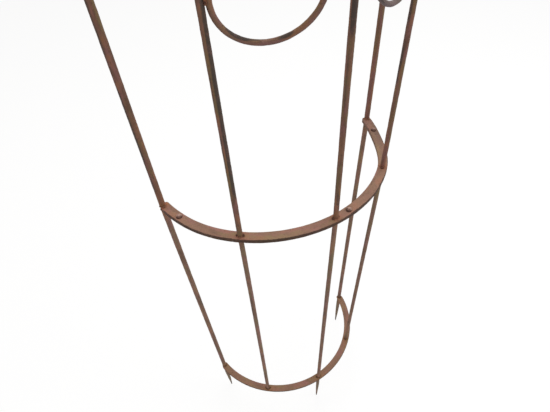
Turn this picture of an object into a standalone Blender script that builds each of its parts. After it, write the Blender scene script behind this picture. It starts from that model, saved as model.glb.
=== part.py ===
"""A half-round garden trellis of round rods welded to flat arc bands.

Two sections of five rods stand one on the other and are bolted together at
the middle, where the lower section's top band meets the upper section's
bottom band.  Metres, +Z up, the curved front faces -Y.  Angles go round the
arc from the front, positive towards +X.
"""
from math import atan2, cos, pi, radians, sin, sqrt

import bmesh
import bpy
from mathutils import Matrix, Vector

# Arc and sections
ROD_STEP = radians(40.0)
BOTTOM_RADIUS = 0.240
MIDDLE_RADIUS = 0.265
TOP_RADIUS = 0.2745
LOWER_ROD_LENGTH = 0.753
UPPER_ROD_LENGTH = 0.7515

# Bar stock
END_ROD_DIAMETER = 0.012
INNER_ROD_DIAMETER = 0.010
BAND_WIDTH = 0.020
BAND_THICKNESS = 0.004
BAND_EDGE_ROUNDING = 0.0005
BAND_END_OVERHANG = -0.001
BAND_CORNER_ROUNDING = 0.0095

# The middle bands are knocked inwards between rods 4 and 5 and at rod 1: how deep, where, how far each way
RIGHT_SET_DEPTH = 0.007
RIGHT_SET_ANGLE = radians(64.0)
RIGHT_SET_SPREAD = radians(26.0)
LEFT_SET_DEPTH = 0.003
LEFT_SET_ANGLE = radians(-80.0)
LEFT_SET_SPREAD = radians(30.0)

# Spikes under rods 1, 3 and 5
SPIKE_TAPER_LENGTH = 0.130
SPIKE_SHOULDER_LENGTH = 0.029
SPIKE_TIP_DIAMETER = 0.003

# Rings between the middle rods.  The play is how much narrower a ring is than
# its gap, and the drop is the space between the top band and the highest ring.
# A low ring's top leans outwards by the lean, the high ring's as much inwards.
RING_BAR_DIAMETER = 0.008
RING_PLAY = 0.0262
LEFT_RING_DROP = 0.131
RIGHT_RING_DROP = 0.106
LEFT_RING_LEAN = radians(17.0)
RIGHT_RING_LEAN = radians(-5.0)

# Bolts that join the sections
BOLT_DIAMETER = 0.006
BOLT_HEAD_DIAMETER = 0.011
BOLT_HEAD_HEIGHT = 0.0042
BOLT_TAIL = 0.003
NUT_WIDTH = 0.010
NUT_HEIGHT = 0.005
END_BOLT_OFFSET = 0.051
MIDDLE_BOLT_OFFSET = 0.033

# Weld beads
BEAD_WIDTH = 0.0022
BEAD_HEIGHT = 0.0034
STITCH_DIAMETER = 0.0044
STITCH_LENGTH = 0.012
STITCH_BITE = 0.0010

# Every piece keeps this clearance to the pieces it is welded or bolted to
SEAT = 0.0003

ROD_SIDES = 16
ARC_STEPS = 48
RING_STEPS = 40
RING_SIDES = 10
BOLT_SIDES = 16

ROD_ANGLES = [(number - 3) * ROD_STEP for number in range(1, 6)]
ROD_DIAMETERS = [
    END_ROD_DIAMETER if number in (1, 5) else INNER_ROD_DIAMETER
    for number in range(1, 6)
]
SPIKED_RODS = (1, 3, 5)

# Heights of the seams, counted up from the spike tips
SPIKE_LENGTH = SPIKE_TAPER_LENGTH + SPIKE_SHOULDER_LENGTH
BOTTOM_BAND_Z = SPIKE_LENGTH + SEAT
LOWER_ROD_Z = BOTTOM_BAND_Z + BAND_THICKNESS + SEAT
LOWER_MIDDLE_BAND_Z = LOWER_ROD_Z + LOWER_ROD_LENGTH + SEAT
UPPER_MIDDLE_BAND_Z = LOWER_MIDDLE_BAND_Z + BAND_THICKNESS + SEAT
UPPER_ROD_Z = UPPER_MIDDLE_BAND_Z + BAND_THICKNESS + SEAT
TOP_BAND_Z = UPPER_ROD_Z + UPPER_ROD_LENGTH + SEAT


def polar(radius, angle, z):
    """Point on the arc: the front is -Y, positive angles go towards +X."""
    return Vector((radius * sin(angle), -radius * cos(angle), z))


def lower_axis(angle, z):
    """Axis of a lower rod, carried on straight below the bottom band."""
    share = (z - LOWER_ROD_Z) / LOWER_ROD_LENGTH
    radius = BOTTOM_RADIUS + (MIDDLE_RADIUS - BOTTOM_RADIUS) * share
    return polar(radius, angle, z)


def upper_axis(angle, z):
    """Axis of an upper rod."""
    share = (z - UPPER_ROD_Z) / UPPER_ROD_LENGTH
    radius = MIDDLE_RADIUS + (TOP_RADIUS - MIDDLE_RADIUS) * share
    return polar(radius, angle, z)


def clear_scene():
    for old in list(bpy.data.objects):
        bpy.data.objects.remove(old, do_unlink=True)


def make_material(name, colour, roughness, metallic):
    material = bpy.data.materials.new(name)
    material.use_nodes = True
    shader = material.node_tree.nodes["Principled BSDF"]
    shader.inputs["Base Color"].default_value = (*colour, 1.0)
    shader.inputs["Roughness"].default_value = roughness
    shader.inputs["Metallic"].default_value = metallic
    material.diffuse_color = (*colour, 1.0)
    return material


def make_object(name, mesh, material, parent, smooth_angle=radians(35.0)):
    if not mesh.materials:
        mesh.materials.append(material)
    mesh.shade_smooth()
    mesh.set_sharp_from_angle(angle=smooth_angle)
    piece = bpy.data.objects.new(name, mesh)
    bpy.context.scene.collection.objects.link(piece)
    piece.parent = parent
    return piece


def mesh_from(shape, name):
    bmesh.ops.recalc_face_normals(shape, faces=shape.faces)
    mesh = bpy.data.meshes.new(name)
    shape.to_mesh(mesh)
    shape.free()
    return mesh


def add_stack(shape, levels, sides):
    """Closed skin through level circles, each given as (centre, radius)."""
    loops = []
    for centre, radius in levels:
        loop = []
        for step in range(sides):
            turn = 2.0 * pi * step / sides
            loop.append(shape.verts.new(centre + Vector((radius * cos(turn), radius * sin(turn), 0.0))))
        loops.append(loop)
    for low, high in zip(loops, loops[1:]):
        for step in range(sides):
            after = (step + 1) % sides
            shape.faces.new((low[step], low[after], high[after], high[step]))
    shape.faces.new(loops[0][::-1])
    shape.faces.new(loops[-1])


def combine(piece, other, operation):
    """Boolean with the other object, applied at once so that the other can go."""
    modifier = piece.modifiers.new("combine", "BOOLEAN")
    modifier.operation = operation
    modifier.solver = "EXACT"
    modifier.object = other
    bpy.context.view_layer.update()
    graph = bpy.context.evaluated_depsgraph_get()
    combined = bpy.data.meshes.new_from_object(piece.evaluated_get(graph))
    piece.modifiers.clear()
    piece.data = combined
    bpy.data.objects.remove(other, do_unlink=True)


def make_helper(shape, name):
    """Object for a Boolean, left out of the model itself."""
    helper = bpy.data.objects.new(name, mesh_from(shape, name))
    helper.hide_render = True
    helper.display_type = "WIRE"
    bpy.context.scene.collection.objects.link(helper)
    return helper


def make_bolt_cutter(centres, z_low, z_high):
    """Upright cylinders that open a clear hole for each bolt."""
    radius = BOLT_DIAMETER / 2.0 + SEAT
    shape = bmesh.new()
    for centre in centres:
        low = Vector((centre.x, centre.y, z_low))
        high = Vector((centre.x, centre.y, z_high))
        add_stack(shape, [(low, radius), (high, radius)], BOLT_SIDES)
    return make_helper(shape, "bolt_cutter")


def no_set(angle):
    return 0.0


def hump(angle, depth, middle, spread):
    """Smooth rise from nothing to the depth and back, over the spread to each side of the middle."""
    share = (angle - middle) / spread
    if abs(share) >= 1.0:
        return 0.0
    return depth * cos(share * pi / 2.0) ** 2


def middle_set(angle):
    """How far the middle bands lie inside their arc at an angle."""
    right = hump(angle, RIGHT_SET_DEPTH, RIGHT_SET_ANGLE, RIGHT_SET_SPREAD)
    left = hump(angle, LEFT_SET_DEPTH, LEFT_SET_ANGLE, LEFT_SET_SPREAD)
    return right + left


def band_end_angle(radius):
    return ROD_ANGLES[-1] + END_ROD_DIAMETER / 2.0 / radius + BAND_END_OVERHANG / radius


def make_band(name, radius, z, material, parent, inward=no_set, hole_centres=()):
    """Flat bar bent on edge into an arc, its wide face level, set inwards by angle."""
    reach = band_end_angle(radius)
    half = BAND_WIDTH / 2.0
    shape = bmesh.new()
    corners = [
        polar(radius - half, -reach, 0.0),
        polar(radius + half, -reach, 0.0),
        polar(radius + half, -reach, BAND_THICKNESS),
        polar(radius - half, -reach, BAND_THICKNESS),
    ]
    start = shape.faces.new([shape.verts.new(corner) for corner in corners])
    bmesh.ops.spin(
        shape,
        geom=[start],
        cent=(0.0, 0.0, 0.0),
        axis=(0.0, 0.0, 1.0),
        angle=2.0 * reach,
        steps=ARC_STEPS,
        use_duplicate=False,
    )
    for vert in shape.verts:
        distance = sqrt(vert.co.x ** 2 + vert.co.y ** 2)
        share = 1.0 - inward(atan2(vert.co.x, -vert.co.y)) / distance
        vert.co.x *= share
        vert.co.y *= share
    upright = [
        edge
        for edge in shape.edges
        if abs(edge.verts[0].co.z - edge.verts[1].co.z) > BAND_THICKNESS / 2.0
        and abs(abs(atan2(edge.verts[0].co.x, -edge.verts[0].co.y)) - reach) < 1e-4
    ]
    bmesh.ops.bevel(
        shape,
        geom=upright,
        offset=BAND_CORNER_ROUNDING,
        segments=5,
        profile=0.5,
        affect="EDGES",
    )
    level = [
        edge
        for edge in shape.edges
        if len(edge.link_faces) == 2
        and edge.link_faces[0].normal.angle(edge.link_faces[1].normal) > radians(60.0)
        and abs(edge.verts[0].co.z - edge.verts[1].co.z) < 1e-6
    ]
    bmesh.ops.bevel(
        shape,
        geom=level,
        offset=BAND_EDGE_ROUNDING,
        segments=1,
        profile=0.5,
        affect="EDGES",
    )
    band = make_object(name, mesh_from(shape, name), material, parent)
    band.location.z = z
    if hole_centres:
        cutter = make_bolt_cutter(hole_centres, z - BAND_THICKNESS, z + 2.0 * BAND_THICKNESS)
        combine(band, cutter, "DIFFERENCE")
    return band


def bead_levels(z, away, radius):
    """Fillet of weld round a bar's end: (z, radius) from the end inwards."""
    return [
        (z + away * share * BEAD_HEIGHT, radius + swell * BEAD_WIDTH)
        for share, swell in ((0.0, 1.0), (0.3, 0.86), (0.65, 0.56), (1.0, 0.12))
    ]


def make_rod(name, axis, z_low, length, diameter, material, parent):
    """Straight rod cut level at both ends, with a weld bead round each end."""
    foot = axis(z_low)
    z_high = z_low + length
    levels = bead_levels(z_low, 1.0, diameter / 2.0)
    levels.append((z_low + 1.5 * BEAD_HEIGHT, diameter / 2.0))
    levels.append((z_high - 1.5 * BEAD_HEIGHT, diameter / 2.0))
    levels += reversed(bead_levels(z_high, -1.0, diameter / 2.0))
    shape = bmesh.new()
    add_stack(shape, [(axis(z) - foot, radius) for z, radius in levels], ROD_SIDES)
    rod = make_object(name, mesh_from(shape, name), material, parent)
    rod.location = foot
    return rod


def make_spike(name, angle, diameter, material, parent):
    """Pointed stake in line with its rod, welded under the bottom band."""
    head = lower_axis(angle, SPIKE_LENGTH)
    tip = SPIKE_TIP_DIAMETER / 2.0
    full = diameter / 2.0
    levels = [
        (0.0, tip),
        (SPIKE_TAPER_LENGTH * 0.5, tip + (full - tip) * 0.62),
        (SPIKE_TAPER_LENGTH, full),
    ]
    levels += reversed(bead_levels(SPIKE_LENGTH, -1.0, full))
    shape = bmesh.new()
    add_stack(shape, [(lower_axis(angle, z) - head, radius) for z, radius in levels], ROD_SIDES)
    spike = make_object(name, mesh_from(shape, name), material, parent)
    spike.location = head
    return spike


def add_stitch(shape, centre, along):
    """Long bead of weld: a ball stretched along the seam."""
    lump = bmesh.ops.create_uvsphere(shape, u_segments=8, v_segments=6, radius=0.5)
    turn = Vector((0.0, 0.0, 1.0)).rotation_difference(along).to_matrix().to_4x4()
    size = Matrix.Diagonal((STITCH_DIAMETER, STITCH_DIAMETER, STITCH_LENGTH, 1.0))
    bmesh.ops.transform(shape, matrix=Matrix.Translation(centre) @ turn @ size, verts=lump["verts"])


def add_stitch_pair(shape, core, towards, along, other_radius):
    """Front and back stitches in the groove between a ring's bar and its neighbour.

    They sink into the ring's own bar and keep the seat's clearance to the
    neighbour, whose axis lies in the direction towards it from the bar's core
    and runs along the other direction given.
    """
    own_radius = RING_BAR_DIAMETER / 2.0
    across = along.cross(towards).normalized()
    reach = own_radius + other_radius + SEAT
    own = own_radius + STITCH_DIAMETER / 2.0 - STITCH_BITE
    other = other_radius + STITCH_DIAMETER / 2.0 + SEAT
    share = (own * own - other * other + reach * reach) / (2.0 * reach)
    lift = sqrt(own * own - share * share)
    for side in (-1.0, 1.0):
        add_stitch(shape, core + towards * share + across * side * lift, along)


class Gap:
    """The flat field between two neighbouring upper rods, and the rings in it.

    Places in the field are a side, from the middle line towards the inner rod,
    and a height, up the middle line from the foot of the upper rods.
    """

    def __init__(self, outer_number, inner_number, drop, lean):
        self.outer_radius = ROD_DIAMETERS[outer_number - 1] / 2.0
        self.inner_radius = ROD_DIAMETERS[inner_number - 1] / 2.0
        outer_angle = ROD_ANGLES[outer_number - 1]
        inner_angle = ROD_ANGLES[inner_number - 1]
        low = UPPER_ROD_Z
        high = UPPER_ROD_Z + UPPER_ROD_LENGTH
        outer_low = upper_axis(outer_angle, low)
        inner_low = upper_axis(inner_angle, low)
        outer_high = upper_axis(outer_angle, high)
        inner_high = upper_axis(inner_angle, high)
        self.base = (outer_low + inner_low) / 2.0
        rise = (outer_high + inner_high) / 2.0 - self.base
        self.length = rise.length
        self.up = rise.normalized()
        self.across = (inner_low - outer_low).normalized()
        outwards = self.up.cross(self.across).normalized()
        if outwards.dot(self.base) < 0.0:
            outwards.negate()
        self.low_up = self.up * cos(lean) + outwards * sin(lean)
        self.high_up = self.up * cos(lean) - outwards * sin(lean)
        self.flat = cos(lean)
        self.outer_run = (outer_high - outer_low).normalized()
        self.inner_run = (inner_high - inner_low).normalized()
        self.half_low = (inner_low - outer_low).length / 2.0
        half_high = (inner_high - outer_high).length / 2.0
        self.spread = (half_high - self.half_low) / rise.length
        self.slope = sqrt(1.0 + self.spread * self.spread)
        self.fit_rings(drop)

    def half(self, height):
        """Half the distance between the two rods' axes."""
        return self.half_low + self.spread * height

    def clear_width(self, height):
        """Free width for a ring between the two rods, seats taken off."""
        return 2.0 * (self.half(height) / self.slope - SEAT) - self.outer_radius - self.inner_radius

    def point(self, side, height):
        return self.base + self.across * side + self.up * height

    def fit_rings(self, drop):
        """Size the rings and zigzag them: low to the outer rod, high to the inner rod.

        A leaning ring shows in the field as an ellipse.  The low ring hangs from
        the high one where the two ellipses face each other, halfway between the
        centres.  That place, the size and the heights depend on each other and
        settle in a few rounds.
        """
        half_seam = (RING_BAR_DIAMETER + SEAT) / 2.0
        width = self.clear_width(0.0) - RING_PLAY
        low_height = self.length - drop - 1.5 * width
        bulge = 1.0
        for _ in range(30):
            reach = width / 2.0
            radius = reach - RING_BAR_DIAMETER / 2.0
            high_height = self.length - drop - radius * self.flat - RING_BAR_DIAMETER / 2.0
            low_side = (reach + self.outer_radius + SEAT) * self.slope - self.half(low_height)
            high_side = self.half(high_height) - (reach + self.inner_radius + SEAT) * self.slope
            level = (high_side - low_side) / 2.0 / (radius + half_seam * self.flat / bulge)
            steep = sqrt(1.0 - level * level)
            bulge = sqrt((self.flat * level) ** 2 + steep ** 2)
            low_height = high_height - 2.0 * steep * (radius * self.flat + half_seam / bulge)
            width = min(self.clear_width(low_height), self.clear_width(high_height)) - RING_PLAY
        self.ring_radius = radius
        self.low = self.point(low_side, low_height)
        self.high = self.point(high_side, high_height)
        self.low_seam = self.low + (self.across * level + self.low_up * steep) * radius
        self.high_seam = self.high - (self.across * level + self.high_up * steep) * radius
        self.low_seam_run = (self.low_up * level - self.across * steep).normalized()


def make_ring_mesh(name, ring_radius):
    shape = bmesh.new()
    start = []
    for step in range(RING_SIDES):
        turn = 2.0 * pi * step / RING_SIDES
        x = ring_radius + RING_BAR_DIAMETER / 2.0 * cos(turn)
        start.append(shape.verts.new((x, RING_BAR_DIAMETER / 2.0 * sin(turn), 0.0)))
    loops = [start]
    for turn_step in range(1, RING_STEPS):
        turned = Matrix.Rotation(2.0 * pi * turn_step / RING_STEPS, 3, "Y")
        loops.append([shape.verts.new(turned @ vert.co) for vert in start])
    for turn_step in range(RING_STEPS):
        here = loops[turn_step]
        there = loops[(turn_step + 1) % RING_STEPS]
        for step in range(RING_SIDES):
            after = (step + 1) % RING_SIDES
            shape.faces.new((here[step], here[after], there[after], there[step]))
    return mesh_from(shape, name)


def make_ring(name, gap, place, up, contacts, material, parent):
    """One ring in its gap, with a stitch pair at each contact.

    A contact is (core of the ring's bar, way to the neighbour, the neighbour's
    own direction, its radius).
    """
    ring = make_object(name, make_ring_mesh(name, gap.ring_radius), material, parent)
    turn = Matrix((gap.across, up.cross(gap.across), up)).transposed()
    ring.matrix_local = Matrix.Translation(place) @ turn.to_4x4()
    shape = bmesh.new()
    for contact in contacts:
        add_stitch_pair(shape, *contact)
    combine(ring, make_helper(shape, "stitches"), "UNION")
    return ring


def make_rings(material, parent):
    """Two rings on each side of the middle rod."""
    sides = (
        ("left", 2, LEFT_RING_DROP, LEFT_RING_LEAN),
        ("right", 4, RIGHT_RING_DROP, RIGHT_RING_LEAN),
    )
    for side_name, outer_number, drop, lean in sides:
        gap = Gap(outer_number, 3, drop, lean)
        outer_way = (-gap.across + gap.up * gap.spread).normalized()
        inner_way = (gap.across + gap.up * gap.spread).normalized()
        outer_core = gap.low + outer_way * gap.ring_radius
        inner_core = gap.high + inner_way * gap.ring_radius
        falling = (gap.low_seam - gap.high_seam).normalized()
        low_contacts = [(outer_core, outer_way, gap.outer_run, gap.outer_radius)]
        high_contacts = [
            (inner_core, inner_way, gap.inner_run, gap.inner_radius),
            (gap.high_seam, falling, gap.low_seam_run, RING_BAR_DIAMETER / 2.0),
        ]
        make_ring(f"ring_{side_name}_low", gap, gap.low, gap.low_up, low_contacts, material, parent)
        make_ring(f"ring_{side_name}_high", gap, gap.high, gap.high_up, high_contacts, material, parent)


def bolt_places():
    """Two bolts just inside the end rods and one just past the middle rod."""
    end_angle = ROD_ANGLES[-1] - END_BOLT_OFFSET / MIDDLE_RADIUS
    angles = (-end_angle, MIDDLE_BOLT_OFFSET / MIDDLE_RADIUS, end_angle)
    return [polar(MIDDLE_RADIUS - middle_set(angle), angle, 0.0) for angle in angles]


def make_bolt(name, place, material, parent):
    """Round-headed bolt: head on top of the joint, tail below the nut."""
    head_z = UPPER_MIDDLE_BAND_Z + BAND_THICKNESS + SEAT
    tail_z = LOWER_MIDDLE_BAND_Z - SEAT - NUT_HEIGHT - BOLT_TAIL
    shank = BOLT_DIAMETER / 2.0
    head = BOLT_HEAD_DIAMETER / 2.0
    levels = [(tail_z, shank * 0.8), (tail_z + shank * 0.2, shank), (head_z, shank), (head_z, head)]
    for share in (0.3, 0.6, 0.85, 0.97):
        levels.append((head_z + share * BOLT_HEAD_HEIGHT, head * sqrt(1.0 - share * share * 0.92)))
    shape = bmesh.new()
    add_stack(shape, [(Vector((0.0, 0.0, z - head_z)), radius) for z, radius in levels], BOLT_SIDES)
    bolt = make_object(name, mesh_from(shape, name), material, parent)
    bolt.location = (place.x, place.y, head_z)
    return bolt


def make_nut(name, place, material, parent):
    """Hexagon nut under the lower of the two middle bands."""
    z = LOWER_MIDDLE_BAND_Z - SEAT - NUT_HEIGHT
    corner = NUT_WIDTH / 2.0 / cos(pi / 6.0)
    shape = bmesh.new()
    add_stack(shape, [(Vector(), corner), (Vector((0.0, 0.0, NUT_HEIGHT)), corner)], 6)
    nut = make_object(name, mesh_from(shape, name), material, parent)
    nut.location = (place.x, place.y, z)
    combine(nut, make_bolt_cutter([place], z - NUT_HEIGHT, z + 2.0 * NUT_HEIGHT), "DIFFERENCE")
    return nut


def stand_on_origin(parent):
    """Move the part so that the middle of its footprint is the origin."""
    bpy.context.view_layer.update()
    graph = bpy.context.evaluated_depsgraph_get()
    low = Vector((1e9, 1e9, 1e9))
    high = -low
    for piece in parent.children:
        seen = piece.evaluated_get(graph)
        for vert in seen.data.vertices:
            point = seen.matrix_world @ vert.co
            low = Vector(map(min, low, point))
            high = Vector(map(max, high, point))
    parent.location -= Vector(((low.x + high.x) / 2.0, (low.y + high.y) / 2.0, low.z))
    bpy.context.view_layer.update()


def main():
    clear_scene()
    trellis = bpy.data.objects.new("trellis", None)
    bpy.context.scene.collection.objects.link(trellis)

    rod_iron = make_material("rod_iron", (0.110, 0.067, 0.045), 0.72, 0.35)
    end_rod_iron = make_material("end_rod_iron", (0.098, 0.062, 0.043), 0.72, 0.35)
    band_iron = make_material("band_iron", (0.205, 0.142, 0.110), 0.66, 0.40)
    ring_iron = make_material("ring_iron", (0.135, 0.082, 0.062), 0.68, 0.38)
    spike_iron = make_material("spike_iron", (0.085, 0.058, 0.042), 0.75, 0.30)
    bolt_iron = make_material("bolt_iron", (0.150, 0.098, 0.070), 0.60, 0.50)

    holes = bolt_places()
    make_band("bottom_band", BOTTOM_RADIUS, BOTTOM_BAND_Z, band_iron, trellis)
    for name, z in (("lower_middle_band", LOWER_MIDDLE_BAND_Z), ("upper_middle_band", UPPER_MIDDLE_BAND_Z)):
        make_band(name, MIDDLE_RADIUS, z, band_iron, trellis, middle_set, holes)
    make_band("top_band", TOP_RADIUS, TOP_BAND_Z, band_iron, trellis)

    for number, (angle, diameter) in enumerate(zip(ROD_ANGLES, ROD_DIAMETERS), start=1):
        iron = end_rod_iron if number in (1, 5) else rod_iron
        make_rod(
            f"lower_rod_{number}",
            lambda z: lower_axis(angle, z),
            LOWER_ROD_Z,
            LOWER_ROD_LENGTH,
            diameter,
            iron,
            trellis,
        )
        make_rod(
            f"upper_rod_{number}",
            lambda z: upper_axis(angle, z),
            UPPER_ROD_Z,
            UPPER_ROD_LENGTH,
            diameter,
            iron,
            trellis,
        )
        if number in SPIKED_RODS:
            make_spike(f"ground_spike_{number}", angle, diameter, spike_iron, trellis)

    make_rings(ring_iron, trellis)
    for side_name, place in zip(("left", "middle", "right"), holes):
        make_bolt(f"joint_bolt_{side_name}", place, bolt_iron, trellis)
        make_nut(f"joint_nut_{side_name}", place, bolt_iron, trellis)
    stand_on_origin(trellis)


main()
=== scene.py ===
import itertools
import math

import bpy
import numpy as np
from mathutils import Matrix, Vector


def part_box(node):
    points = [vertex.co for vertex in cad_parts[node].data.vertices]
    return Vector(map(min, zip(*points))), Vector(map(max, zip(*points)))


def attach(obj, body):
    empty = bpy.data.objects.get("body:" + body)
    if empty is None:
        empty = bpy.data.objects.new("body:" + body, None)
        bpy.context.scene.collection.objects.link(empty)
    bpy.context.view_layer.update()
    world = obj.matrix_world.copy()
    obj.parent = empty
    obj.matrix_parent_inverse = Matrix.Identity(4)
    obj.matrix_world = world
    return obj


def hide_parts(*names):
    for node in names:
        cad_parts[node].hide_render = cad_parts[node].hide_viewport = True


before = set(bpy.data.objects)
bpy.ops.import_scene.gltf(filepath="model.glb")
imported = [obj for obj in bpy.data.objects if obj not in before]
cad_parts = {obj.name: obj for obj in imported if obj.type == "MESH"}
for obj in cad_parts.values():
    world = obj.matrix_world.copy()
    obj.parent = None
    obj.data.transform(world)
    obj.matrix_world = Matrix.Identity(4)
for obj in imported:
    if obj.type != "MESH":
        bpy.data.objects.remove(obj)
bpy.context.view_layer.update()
print("CAD frame:", len(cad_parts), "nodes")


# The arc that every piece lies on, in metres and degrees
arc = {
    "rodStep": 40.0,
    "bottomRadius": 0.240,
    "middleRadius": 0.265,
    "topRadius": 0.2745,
    "endRodDiameter": 0.012,
    "innerRodDiameter": 0.010,
}
# Flat bar of the bands. The inner edge is thicker than the outer one by twice the squeeze.
bandStock = {
    "width": 0.020,
    "thickness": 0.004,
    "corner": 0.0006,
    "outerEndCorner": 0.0130,
    "innerEndCorner": 0.0062,
    "endOverhang": -0.001,
    "leastHalf": 0.0002,
    "squeeze": 0.05,
    "stationGap": 0.0012,
    "endStations": 18,
    "faceSteps": 21,
    "sideSteps": 6,
}
allRods = (1, 2, 3, 4, 5)
endRods = (1, 5)
middleRod = 3
boltSides = ("left", "middle", "right")
rodAngles = {number: math.radians((number - middleRod) * arc["rodStep"]) for number in allRods}
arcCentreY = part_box("bottom_band")[0].y + arc["bottomRadius"] + bandStock["width"] / 2.0


# Half of a rod's diameter: the two end rods are thicker
def rodRadius(number):
    return (arc["endRodDiameter"] if number in endRods else arc["innerRodDiameter"]) / 2.0


# Points from coordinates that are spread over each other's rows and columns
def pointsOf(x, y, z):
    return np.stack(np.broadcast_arrays(x, y, z), axis=-1)


# Points on the arc: x = radius sin(angle), y = centre - radius cos(angle)
def polar(radius, angle, height):
    return pointsOf(radius * np.sin(angle), arcCentreY - radius * np.cos(angle), height)


# Points round an upright axis: x = radius cos(turn), y = radius sin(turn)
def turned(turn, radius, height):
    return pointsOf(radius * np.cos(turn), radius * np.sin(turn), height)


# A whole turn in so many even steps
def fullTurn(steps):
    return np.linspace(0.0, 2.0 * math.pi, steps, endpoint=False)


# A section of rods: its lowest and highest level, and the arc's radius at each
def sectionOf(rod, lowRadius, highRadius):
    low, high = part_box(rod)
    return {"levels": (low.z, high.z), "radii": (lowRadius, highRadius)}


sections = {
    "lower": sectionOf("lower_rod_3", arc["bottomRadius"], arc["middleRadius"]),
    "upper": sectionOf("upper_rod_3", arc["middleRadius"], arc["topRadius"]),
}


# A rod's axis: its radius on the arc grows evenly with height, and goes on past both ends
def rodAxis(section, number, height):
    low, high = sections[section]["levels"]
    lowRadius, highRadius = sections[section]["radii"]
    share = (height - low) / (high - low)
    return polar(lowRadius + (highRadius - lowRadius) * share, rodAngles[number], height)


# Where a bolt's axis meets the ground: half way across its node
def boltFoot(side):
    low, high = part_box(f"joint_bolt_{side}")
    return np.array([(low.x + high.x) / 2.0, (low.y + high.y) / 2.0, 0.0])


# Length of a vector made one
def unit(vector):
    return vector / np.linalg.norm(vector)


# A smooth rise from 0 at the first value to 1 at the second: 3 s squared less 2 s cubed
def smoothRise(value, start, end):
    share = np.clip((value - start) / (end - start), 0.0, 1.0)
    return share * share * (3.0 - 2.0 * share)


# A hump in the middle of a spread: cos squared of a quarter turn times the distance over the spread
def hump(fromMiddle, spread):
    return np.cos(np.clip(fromMiddle / spread, -1.0, 1.0) * math.pi / 2.0) ** 2


# A bell over a distance: e to the minus of (distance / reach) squared
def bell(distance, reach):
    return np.exp(-((distance / reach) ** 2))


# Angle between a direction in radians and another in degrees, from -180 to 180 degrees
def degreesFrom(turn, other):
    return np.mod(np.degrees(turn) - other + 180.0, 360.0) - 180.0


# Large odd numbers that scramble a lattice corner and a seed into 32 bits
scramble = {
    "axes": (73856093, 19349663, 83492791),
    "seed": 2654435761,
    "rounds": ((15, 2246822519), (13, 3266489917)),
    "lastShift": 16,
    "allBits": 0xFFFFFFFF,
    "keptBits": 0xFFFFFF,
}


# Value noise: a fixed random number at each corner of a cube lattice, blended by smooth steps, from 0 to 1
def valueNoise(points, size, seed):
    cell = points / size
    corner = np.floor(cell).astype(np.int64)
    part = smoothRise(cell - corner, 0.0, 1.0)
    total = np.zeros(points.shape[:-1])
    for steps in itertools.product((0, 1), repeat=3):
        key = seed * scramble["seed"]
        for axis, step in enumerate(steps):
            key = key ^ ((corner[..., axis] + step) * scramble["axes"][axis])
        key = key & scramble["allBits"]
        for shift, factor in scramble["rounds"]:
            key = ((key ^ (key >> shift)) * factor) & scramble["allBits"]
        kept = (key ^ (key >> scramble["lastShift"])) & scramble["keptBits"]
        weighed = kept / float(scramble["keptBits"])
        for axis, step in enumerate(steps):
            weighed = weighed * (part[..., axis] if step else 1.0 - part[..., axis])
        total += weighed
    return total


# Relief of old rust, in metres: the bar swells slowly, crust stands up in flakes and pits sink between
# them. Fine flakes have a share in the crust's noise, at a part of its size.
rust = {
    "swellSize": 0.019,
    "swellHeight": 0.00016,
    "crustSize": 0.0085,
    "crustHeight": 0.00012,
    "crustRise": (0.52, 0.60),
    "fineShare": 0.35,
    "fineSize": 0.43,
    "pitSize": 0.0030,
    "pitDepth": 0.00016,
    "pitRise": (0.76, 0.92),
    "grainSize": 0.0015,
    "grainHeight": 0.00006,
}


# Relief = swell + crust + grain - pit, each a noise of its own size. Also gives where crust and pits are.
def rustRelief(points, seed, share):
    swell = valueNoise(points, rust["swellSize"], seed) - 0.5
    flakes = (1.0 - rust["fineShare"]) * valueNoise(points, rust["crustSize"], seed + 1)
    fineSize = rust["crustSize"] * rust["fineSize"]
    flakes += rust["fineShare"] * valueNoise(points, fineSize, seed + 2)
    crust = smoothRise(flakes, *rust["crustRise"])
    pit = smoothRise(valueNoise(points, rust["pitSize"], seed + 3), *rust["pitRise"])
    grain = valueNoise(points, rust["grainSize"], seed + 4) - 0.5
    relief = swell * rust["swellHeight"] * 2.0 + crust * rust["crustHeight"]
    relief += grain * rust["grainHeight"] * 2.0 - pit * rust["pitDepth"]
    return relief * share, crust, pit


# Each piece shows its own stretch of the patterns. The run is short enough to keep the grain sharp.
patterns = {"step": 0.731, "run": 12.0}


# Where a piece's stretch starts: what is left of seed times step over whole runs
def patternStart(seed):
    return (seed * patterns["step"]) % patterns["run"]


# Places for a small piece's patterns: its points from its own middle, moved along to its start
def ownPlace(points, seed):
    return points + np.array([patternStart(seed), 0.0, 0.0])


# What the finishes read at each point, nought where a piece has none of it
noMarks = {"crust": 0.0, "pit": 0.0, "nearWeld": 0.0, "nearEdge": 0.0, "burnt": 0.0, "bare": 0.0}


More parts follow.
